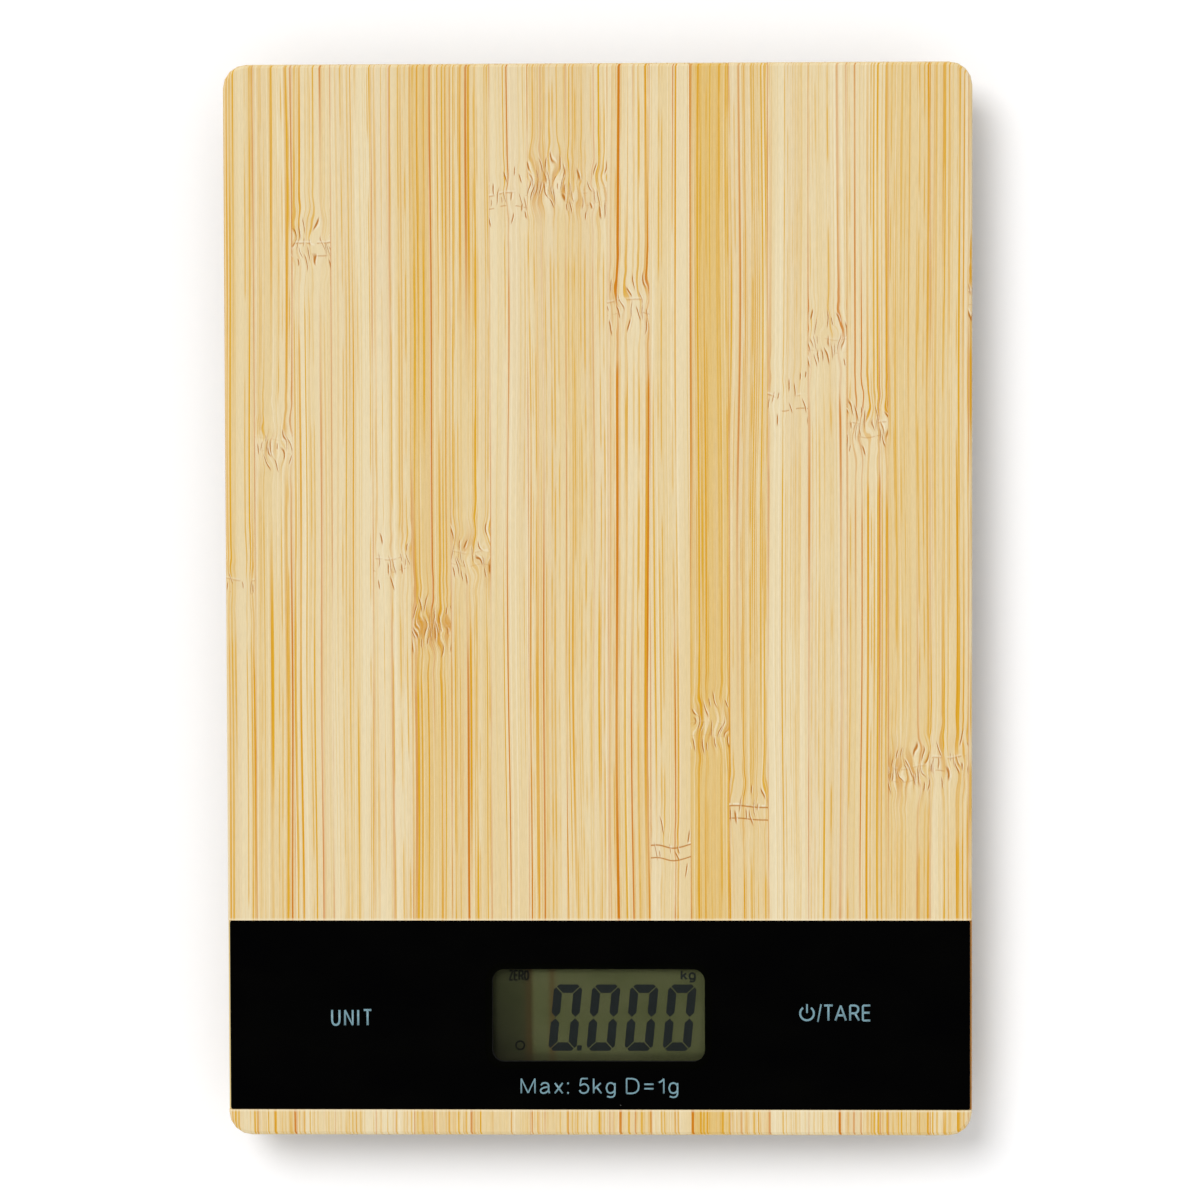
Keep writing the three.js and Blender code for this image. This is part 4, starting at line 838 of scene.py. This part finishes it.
bar_place = Matrix.Translation((0, SYMBOL_BAR_RAISE * MM, -print_depth / 2))
bar_size = Matrix.Diagonal((SYMBOL_BAR[0] * MM, SYMBOL_BAR[1] * MM, print_depth, 1))
bmesh.ops.create_cube(symbol, size=1, matrix=bar_place @ bar_size)
bmesh.ops.recalc_face_normals(symbol, faces=symbol.faces)
bmesh.ops.translate(symbol, vec=(SYMBOL[0] * MM, SYMBOL[1] * MM, print_top), verts=symbol.verts)
publish(symbol, "legend_switch", legend_ink)

# ---------------------------------------------------------------- display unit
# Two panes of glass with the liquid crystal between them, a grey-green reflecting film behind,
# all held in a black moulded frame with the key springs and the circuit board.
GLASS_EDGE = 0.06
GLASS_CORNER = 0.3
GLASS_ALPHA = 0.06

grained = varied_group("grained", 3.0, 0.6, True)


def plain_finish(name, dark, light, roughness, grain, depth, metallic=0.0):
    """A finish whose colour, roughness and surface all vary a little with one grain."""
    material, tree, shader = new_material(name)
    finish = varied(tree, grained, dark, light, roughness, grain)
    coat(tree, shader, finish["Color"], finish["Roughness"])
    shader.inputs["Metallic"].default_value = metallic
    bumped(tree, shader, finish["Height"], 1.0, depth)
    return material


display_glass, tree, shader = new_material("display_glass")
haze = varied(tree, hazed, (60, 66, 50), (72, 78, 60), (0.04, 0.10), (0.2, 0.2, 0.2))
coat(tree, shader, haze["Color"], haze["Roughness"])
shader.inputs["Alpha"].default_value = GLASS_ALPHA

# The film behind the liquid crystal: darker in the panel's shade at the left, with two faint warm
# streaks of light from the room, a darker foot and a little dust.
SHADE_FROM, SHADE_TO = -14.0, -15.2
STREAKS = ((-10.3, 0.75, 1.0), (-15.2, 0.9, 0.6))
DUST_LUCK = 0.6
polariser, tree, shader = new_material("polariser")
place = millimetres(tree)
across, along, up = wire(tree, "ShaderNodeSeparateXYZ", {0: place}).outputs
cloud = noise(tree, place, (0.08, 0.12, 0.1), 2.0)
colour = blend(tree, rise(tree, cloud, 0.3, 0.7), paint(148, 156, 96), paint(164, 170, 112))
low_left = scaled(tree, along, 0.6, across)
colour = blend(tree, rise(tree, across, SHADE_FROM, SHADE_TO, 0.0, 0.66), colour, paint(48, 50, 8))
colour = blend(tree, rise(tree, low_left, -66.0, -84.0, 0.0, 0.85), colour, paint(40, 40, 6))
streaks = []
for streak_at, streak_width, strength in STREAKS:
    streak = bell(tree, minus(tree, across, streak_at), streak_width)
    streaks.append(product(tree, streak, strength))
colour = blend(tree, product(tree, largest(tree, *streaks), 0.45), colour, paint(150, 84, 10))
colour = blend(tree, rise(tree, along, -96.8, -98.4, 0.0, 0.5), colour, paint(86, 84, 52))
fleck, luck = scattered(tree, place, 0.3, 0.035, 0.02)
fleck = product(tree, fleck, calc(tree, "GREATER_THAN", luck[0], DUST_LUCK), 0.5)
colour = blend(tree, fleck, colour, paint(250, 246, 200))
frosting = noise(tree, place, (9, 9, 9), 1.0)
coat(tree, shader, colour, rise(tree, frosting, 0.3, 0.7, 0.45, 0.6))

for node, material, slot in (
    ("display_front_glass", display_glass, "display_glass"),
    ("display_rear_glass", polariser, "display_glass"),
    ("display_reflector", polariser, "reflector_foil"),
):
    low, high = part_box(node)
    size = (high - low) / MM
    pane = rounded_plate(size.x, size.y, GLASS_CORNER, (low + high) / 2, high.z, size.z, 2)
    round_edges(pane, GLASS_EDGE, lambda e: on_rim(e, high.z), 1)
    soften(pane)
    publish(pane, node + "_pane", material, nodes=[node])

# Digits, decimal point, zero mark and unit, as dark segments of the liquid crystal.
DIGIT_HEIGHT = 14.4
DIGIT_WIDTH = 6.1
DIGIT_PITCH = 8.22
DIGIT_LEFT = -11.2
DIGIT_BOTTOM = -97.1
DIGIT_SLANT = 0.098
SEGMENT = 1.85
SEGMENT_GAP = 0.16
SEGMENT_THICKNESS = 0.02
SEGMENT_TIP = 0.25
SEGMENT_RAISE = 0.035
BAR_INSET = 0.3
DIGIT_COUNT = 4
POINT_LEFT, POINT_RIGHT, POINT_FOOT, POINT_HEAD = 6.2, 7.2, 0.05, 1.2
ZERO_MARK = (-17.2, -95.9)
ZERO_MARK_RADIUS = 1.08
ZERO_MARK_HOLE = 0.68
SMALL_LINE, SMALL_GAP = 0.42, 0.24
rear_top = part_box("display_rear_glass")[1].z
segment_top = rear_top + SEGMENT_RAISE * MM

liquid_crystal, tree, shader = new_material("liquid_crystal")
place = millimetres(tree)
across = wire(tree, "ShaderNodeSeparateXYZ", {0: place}).outputs[0]
mottle = varied(tree, hazed, (46, 56, 60), (58, 68, 72), (0.45, 0.6), (2, 2, 2))
# Painted shade: the segments turn darker towards the left, like the film behind them.
shaded = rise(tree, across, SHADE_FROM, SHADE_TO)
colour = blend(tree, shaded, mottle["Color"], paint(12, 16, 8))
coat(tree, shader, colour, mottle["Roughness"])


def side_segment(left, low, high, outer_cut, mirrored):
    """One upright segment: cut at 45 degrees where it meets the bar, pointed at the middle."""
    right = left + SEGMENT
    if mirrored:
        left, right = right, left
    middle = (left + right) / 2
    tip_x = left + (right - left) * SEGMENT_TIP
    point = SEGMENT / 2
    if outer_cut == "top":
        return [(left, low + point), (middle, low), (right, low + point), (right, high - SEGMENT),
                (tip_x, high - SEGMENT_TIP * SEGMENT), (left, high - point)]
    return [(left, low + point), (tip_x, low + SEGMENT_TIP * SEGMENT), (right, low + SEGMENT),
            (right, high - point), (middle, high), (left, high - point)]


def zero_outlines():
    """The six lit segments of a nought, in its own upright box."""
    half = DIGIT_HEIGHT / 2
    gap = SEGMENT_GAP
    tip = SEGMENT_TIP * SEGMENT
    taper = SEGMENT - tip
    bar_left = gap * 2 + BAR_INSET
    bar_right = DIGIT_WIDTH - bar_left
    bars = []
    for outer, inner in ((DIGIT_HEIGHT, DIGIT_HEIGHT - SEGMENT), (0, SEGMENT)):
        tip_y = outer + (inner - outer) * SEGMENT_TIP
        bars.append([
            (bar_left + tip, outer), (bar_right - tip, outer), (bar_right, tip_y),
            (bar_right - taper, inner), (bar_left + taper, inner), (bar_left, tip_y)])
    sides = []
    for left, mirrored in ((0, False), (DIGIT_WIDTH - SEGMENT, True)):
        sides.append(side_segment(left, half + gap, DIGIT_HEIGHT - gap, "top", mirrored))
        sides.append(side_segment(left, gap, half - gap, "bottom", mirrored))
    return bars + sides


segments = bmesh.new()


def thicken(faces):
    """Gives flat segments their thickness, downwards."""
    lower = bmesh.ops.extrude_face_region(segments, geom=faces, use_keep_orig=True)["geom"]
    moved = [v for v in lower if isinstance(v, bmesh.types.BMVert)]
    bmesh.ops.translate(segments, vec=(0, 0, -SEGMENT_THICKNESS * MM), verts=moved)


def add_segment(outline, left):
    corners = []
    for x, y in outline:
        corners.append(segments.verts.new(
            ((left + x + y * DIGIT_SLANT) * MM, (DIGIT_BOTTOM + y) * MM, segment_top)))
    face = segments.faces.new(corners)
    face.normal_update()
    if face.normal.z < 0:
        face.normal_flip()


for count in range(DIGIT_COUNT):
    for outline in zero_outlines():
        add_segment(outline, DIGIT_LEFT + count * DIGIT_PITCH)
decimal_point = [
    (POINT_LEFT, POINT_FOOT), (POINT_RIGHT, POINT_FOOT), (POINT_RIGHT, POINT_HEAD), (POINT_LEFT, POINT_HEAD)
]
add_segment(decimal_point, DIGIT_LEFT)
thicken(segments.faces[:])

# The zero mark is a small ring.
centre = Vector((ZERO_MARK[0] * MM, ZERO_MARK[1] * MM, 0))
mark_place = Matrix.Translation((centre.x, centre.y, segment_top))
bmesh.ops.create_circle(segments, segments=32, radius=ZERO_MARK_RADIUS * MM, matrix=mark_place)
ring_edges = [e for e in segments.edges if e.is_wire]
inner = bmesh.ops.extrude_edge_only(segments, edges=ring_edges)["geom"]
ring_verts = [v for v in inner if isinstance(v, bmesh.types.BMVert)]
hole = (ZERO_MARK_HOLE, ZERO_MARK_HOLE, 1)
bmesh.ops.scale(segments, vec=hole, verts=ring_verts, space=Matrix.Translation(-centre))
thicken([f for f in segments.faces if set(f.verts) & set(ring_verts)])
bmesh.ops.recalc_face_normals(segments, faces=segments.faces)
for words, box in (("ZERO", (-19.7, -81.95, -15.2, -79.55)), ("kg", (17.4, -81.8, 20.75, -79.5))):
    add_mesh(segments, lettering(words, box, segment_top, SEGMENT_THICKNESS, SMALL_LINE, SMALL_GAP))
publish(segments, "display_segments", liquid_crystal)

# Each finish: darker and lighter colour, roughness from and to, grains to a millimetre along each
# axis, and depth of the grain in millimetres.
black_adhesive = plain_finish("black_adhesive", (26, 26, 26), (36, 36, 36), (0.6, 0.8), (2, 2, 2), 0.02)
black_plastic = plain_finish("black_plastic", (42, 43, 45), (52, 53, 55), (0.42, 0.58), (3, 3, 3), 0.03)
conductive_rubber = plain_finish(
    "conductive_rubber", (58, 58, 58), (72, 72, 70), (0.7, 0.85), (4, 0.5, 4), 0.04
)
epoxy = plain_finish("epoxy", (18, 18, 18), (30, 30, 30), (0.12, 0.25), (0.6, 0.6, 0.6), 0.06)
spring_steel = plain_finish(
    "spring_steel", (190, 190, 192), (215, 215, 218), (0.16, 0.3), (6, 6, 6), 0.01, metallic=1.0
)

circuit_laminate, tree, shader = new_material("circuit_laminate")
place = millimetres(tree)
tracks = wire(tree, "ShaderNodeTexBrick", {"Vector": place, "Scale": 0.35, "Mortar Size": 0.05})
mask = tracks.outputs["Fac"]
colour = blend(tree, mask, paint(30, 92, 58), paint(44, 116, 72))
resist = noise(tree, place, (2, 2, 2), 2.0)
coat(tree, shader, colour, rise(tree, resist, 0.3, 0.7, 0.25, 0.4))
bumped(tree, shader, mask, 0.6, 0.04)


def dress(node, material, body="scale_body"):
    """A CAD node's own shape, with its curves smoothed and a better finish."""
    publish(merged_copy(node), node + "_fine", material, body=body, nodes=[node])


for node, material, slot in (
    ("panel_tape", black_adhesive, "black_adhesive"),
    ("display_frame", black_plastic, "black_plastic"),
    ("contact_strip_front", conductive_rubber, "conductive_rubber"),
    ("contact_strip_back", conductive_rubber, "conductive_rubber"),
    ("circuit_board", circuit_laminate, "circuit_laminate"),
    ("chip_cover", epoxy, "epoxy"),
    ("touch_spring_unit", spring_steel, "spring_steel"),
    ("touch_spring_tare", spring_steel, "spring_steel"),
):
    dress(node, material)

# ---------------------------------------------------------------- tray and its screws
# The black moulded tray that closes the underside. Six zinc-plated steel screws with crossed
# slots hold it up to the board, and four small ones hold the circuit board to its frame.
zinc_screw = plain_finish(
    "zinc_screw", (176, 178, 182), (208, 210, 214), (0.22, 0.4), (3, 3, 3), 0.01, metallic=1.0
)
dress("base_tray", black_plastic)
for kind, count in (("tray_screw", 6), ("circuit_screw", 4)):
    for number in range(1, count + 1):
        dress(f"{kind}_{number}", zinc_screw)

# ---------------------------------------------------------------- feet and load cells
# At each corner a rubber pad, glued into a moulded cup, pushes on the middle of a stamped steel
# load cell, which clips into a white moulded holder. A gauge sealed on its neck reads the bend.
foot_rubber = plain_finish("foot_rubber", (46, 47, 49), (60, 61, 62), (0.7, 0.9), (2, 2, 2), 0.03)
white_plastic = plain_finish(
    "white_plastic", (212, 211, 204), (226, 225, 219), (0.42, 0.55), (3, 3, 3), 0.02
)
cell_steel = plain_finish(
    "cell_steel", (168, 170, 174), (196, 198, 202), (0.28, 0.45), (0.4, 8, 8), 0.01, metallic=1.0
)
gauge_sealant = plain_finish(
    "gauge_sealant", (220, 216, 205), (236, 233, 224), (0.45, 0.6), (0.8, 0.8, 0.8), 0.08
)
red_sleeve = plain_finish("red_sleeve", (150, 22, 18), (178, 34, 26), (0.35, 0.5), (1, 1, 1), 0.02)
for corner in ("front_left", "front_right", "back_left", "back_right"):
    foot = "foot_" + corner
    dress("foot_cup_" + corner, black_plastic, foot)
    dress("rubber_pad_" + corner, foot_rubber, foot)
    dress("cell_holder_" + corner, white_plastic)
    dress("load_cell_" + corner, cell_steel)
    dress("strain_gauge_" + corner, gauge_sealant)
    dress("cell_lead_" + corner, red_sleeve)

# ---------------------------------------------------------------- battery bay
# A coin cell lies between two stamped, nickel-plated contacts, under a round moulded door that
# locks with a part turn. Two sleeved leads run from the contacts to the circuit board.
black_sleeve = plain_finish("black_sleeve", (24, 24, 24), (36, 36, 36), (0.35, 0.5), (1, 1, 1), 0.02)
nickel = plain_finish(
    "nickel", (196, 192, 184), (220, 217, 210), (0.2, 0.36), (2, 2, 2), 0.01, metallic=1.0
)
dress("battery_door", black_plastic, "battery_door")
dress("coin_cell", nickel)
dress("battery_contact_negative", nickel)
dress("battery_contact_positive", nickel)
dress("battery_lead_positive", red_sleeve)
dress("battery_lead_negative", black_sleeve)

# ---------------------------------------------------------------- floor, light and camera
# A plain white table, clear when looked at from below, one broad soft light from the back left,
# and a pale room with a dark patch of ceiling right overhead. The camera looks straight down.
FLOOR_SIZE = 6.0
KEY_STRENGTH = 1.60
KEY_SPREAD = 30
KEY_ELEVATION = 57
KEY_AZIMUTH = 128
ROOM_LIGHT = 0.80
CEILING_LIGHT = 0.008
CEILING_FROM, CEILING_TO = 14, 24
CAMERA_PLACE = (28.8, 43.1, 1015.4)
CAMERA_TURN = (-2.454, 1.623, -0.169)
CAMERA_LENS = 140
CAMERA_SENSOR = 36
CAMERA_REACH = 20

white_table, tree, shader = new_material("white_table")
place = millimetres(tree)
cloud = noise(tree, place, (0.3, 0.3, 0.3), 2.0)
colour = blend(tree, cloud, paint(250, 250, 251), paint(252, 252, 253))
tree.links.new(colour, shader.inputs["Base Color"])
shader.inputs["Roughness"].default_value = 0.9
shader.inputs["Specular IOR Level"].default_value = 0.0
underside = tree.nodes.new("ShaderNodeNewGeometry").outputs["Backfacing"]
clear = tree.nodes.new("ShaderNodeBsdfTransparent").outputs[0]
either = wire(tree, "ShaderNodeMixShader", {0: underside, 1: shader.outputs[0], 2: clear})
tree.links.new(either.outputs[0], tree.nodes["Material Output"].inputs[0])
table = bmesh.new()
bmesh.ops.create_grid(table, x_segments=1, y_segments=1, size=FLOOR_SIZE / 2)
mesh = bpy.data.meshes.new("table_top")
table.to_mesh(mesh)
table.free()
mesh.materials.append(white_table)
floor = bpy.data.objects.new("table_top", mesh)
bpy.context.scene.collection.objects.link(floor)
floor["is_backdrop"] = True

key = bpy.data.lights.new("key", "SUN")
key.energy = KEY_STRENGTH
key.angle = math.radians(KEY_SPREAD)
key_object = bpy.data.objects.new("key", key)
elevation, azimuth = math.radians(KEY_ELEVATION), math.radians(KEY_AZIMUTH)
level = math.cos(elevation)
towards = Vector((math.cos(azimuth) * level, math.sin(azimuth) * level, math.sin(elevation)))
key_object.rotation_euler = towards.to_track_quat("Z", "Y").to_euler()
bpy.context.scene.collection.objects.link(key_object)

world = bpy.data.worlds.new("room")
bpy.context.scene.world = world
world.use_nodes = True
tree = world.node_tree
way = tree.nodes.new("ShaderNodeTexCoord").outputs["Generated"]
overhead = wire(tree, "ShaderNodeSeparateXYZ", {0: way}).outputs[2]
ceiling_from, ceiling_to = (math.cos(math.radians(a)) for a in (CEILING_FROM, CEILING_TO))
room = rise(tree, overhead, ceiling_from, ceiling_to, CEILING_LIGHT, ROOM_LIGHT)
tree.links.new(room, tree.nodes["Background"].inputs["Color"])

camera = bpy.data.cameras.new("camera")
camera.lens = CAMERA_LENS
camera.sensor_width = CAMERA_SENSOR
camera.clip_end = CAMERA_REACH
camera_object = bpy.data.objects.new("camera", camera)
camera_object.location = Vector(CAMERA_PLACE) * MM
camera_object.rotation_euler = Euler([math.radians(a) for a in CAMERA_TURN], "XYZ")
bpy.context.scene.collection.objects.link(camera_object)
bpy.context.scene.camera = camera_object
bpy.context.scene.view_settings.view_transform = "Standard"

low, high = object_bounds()
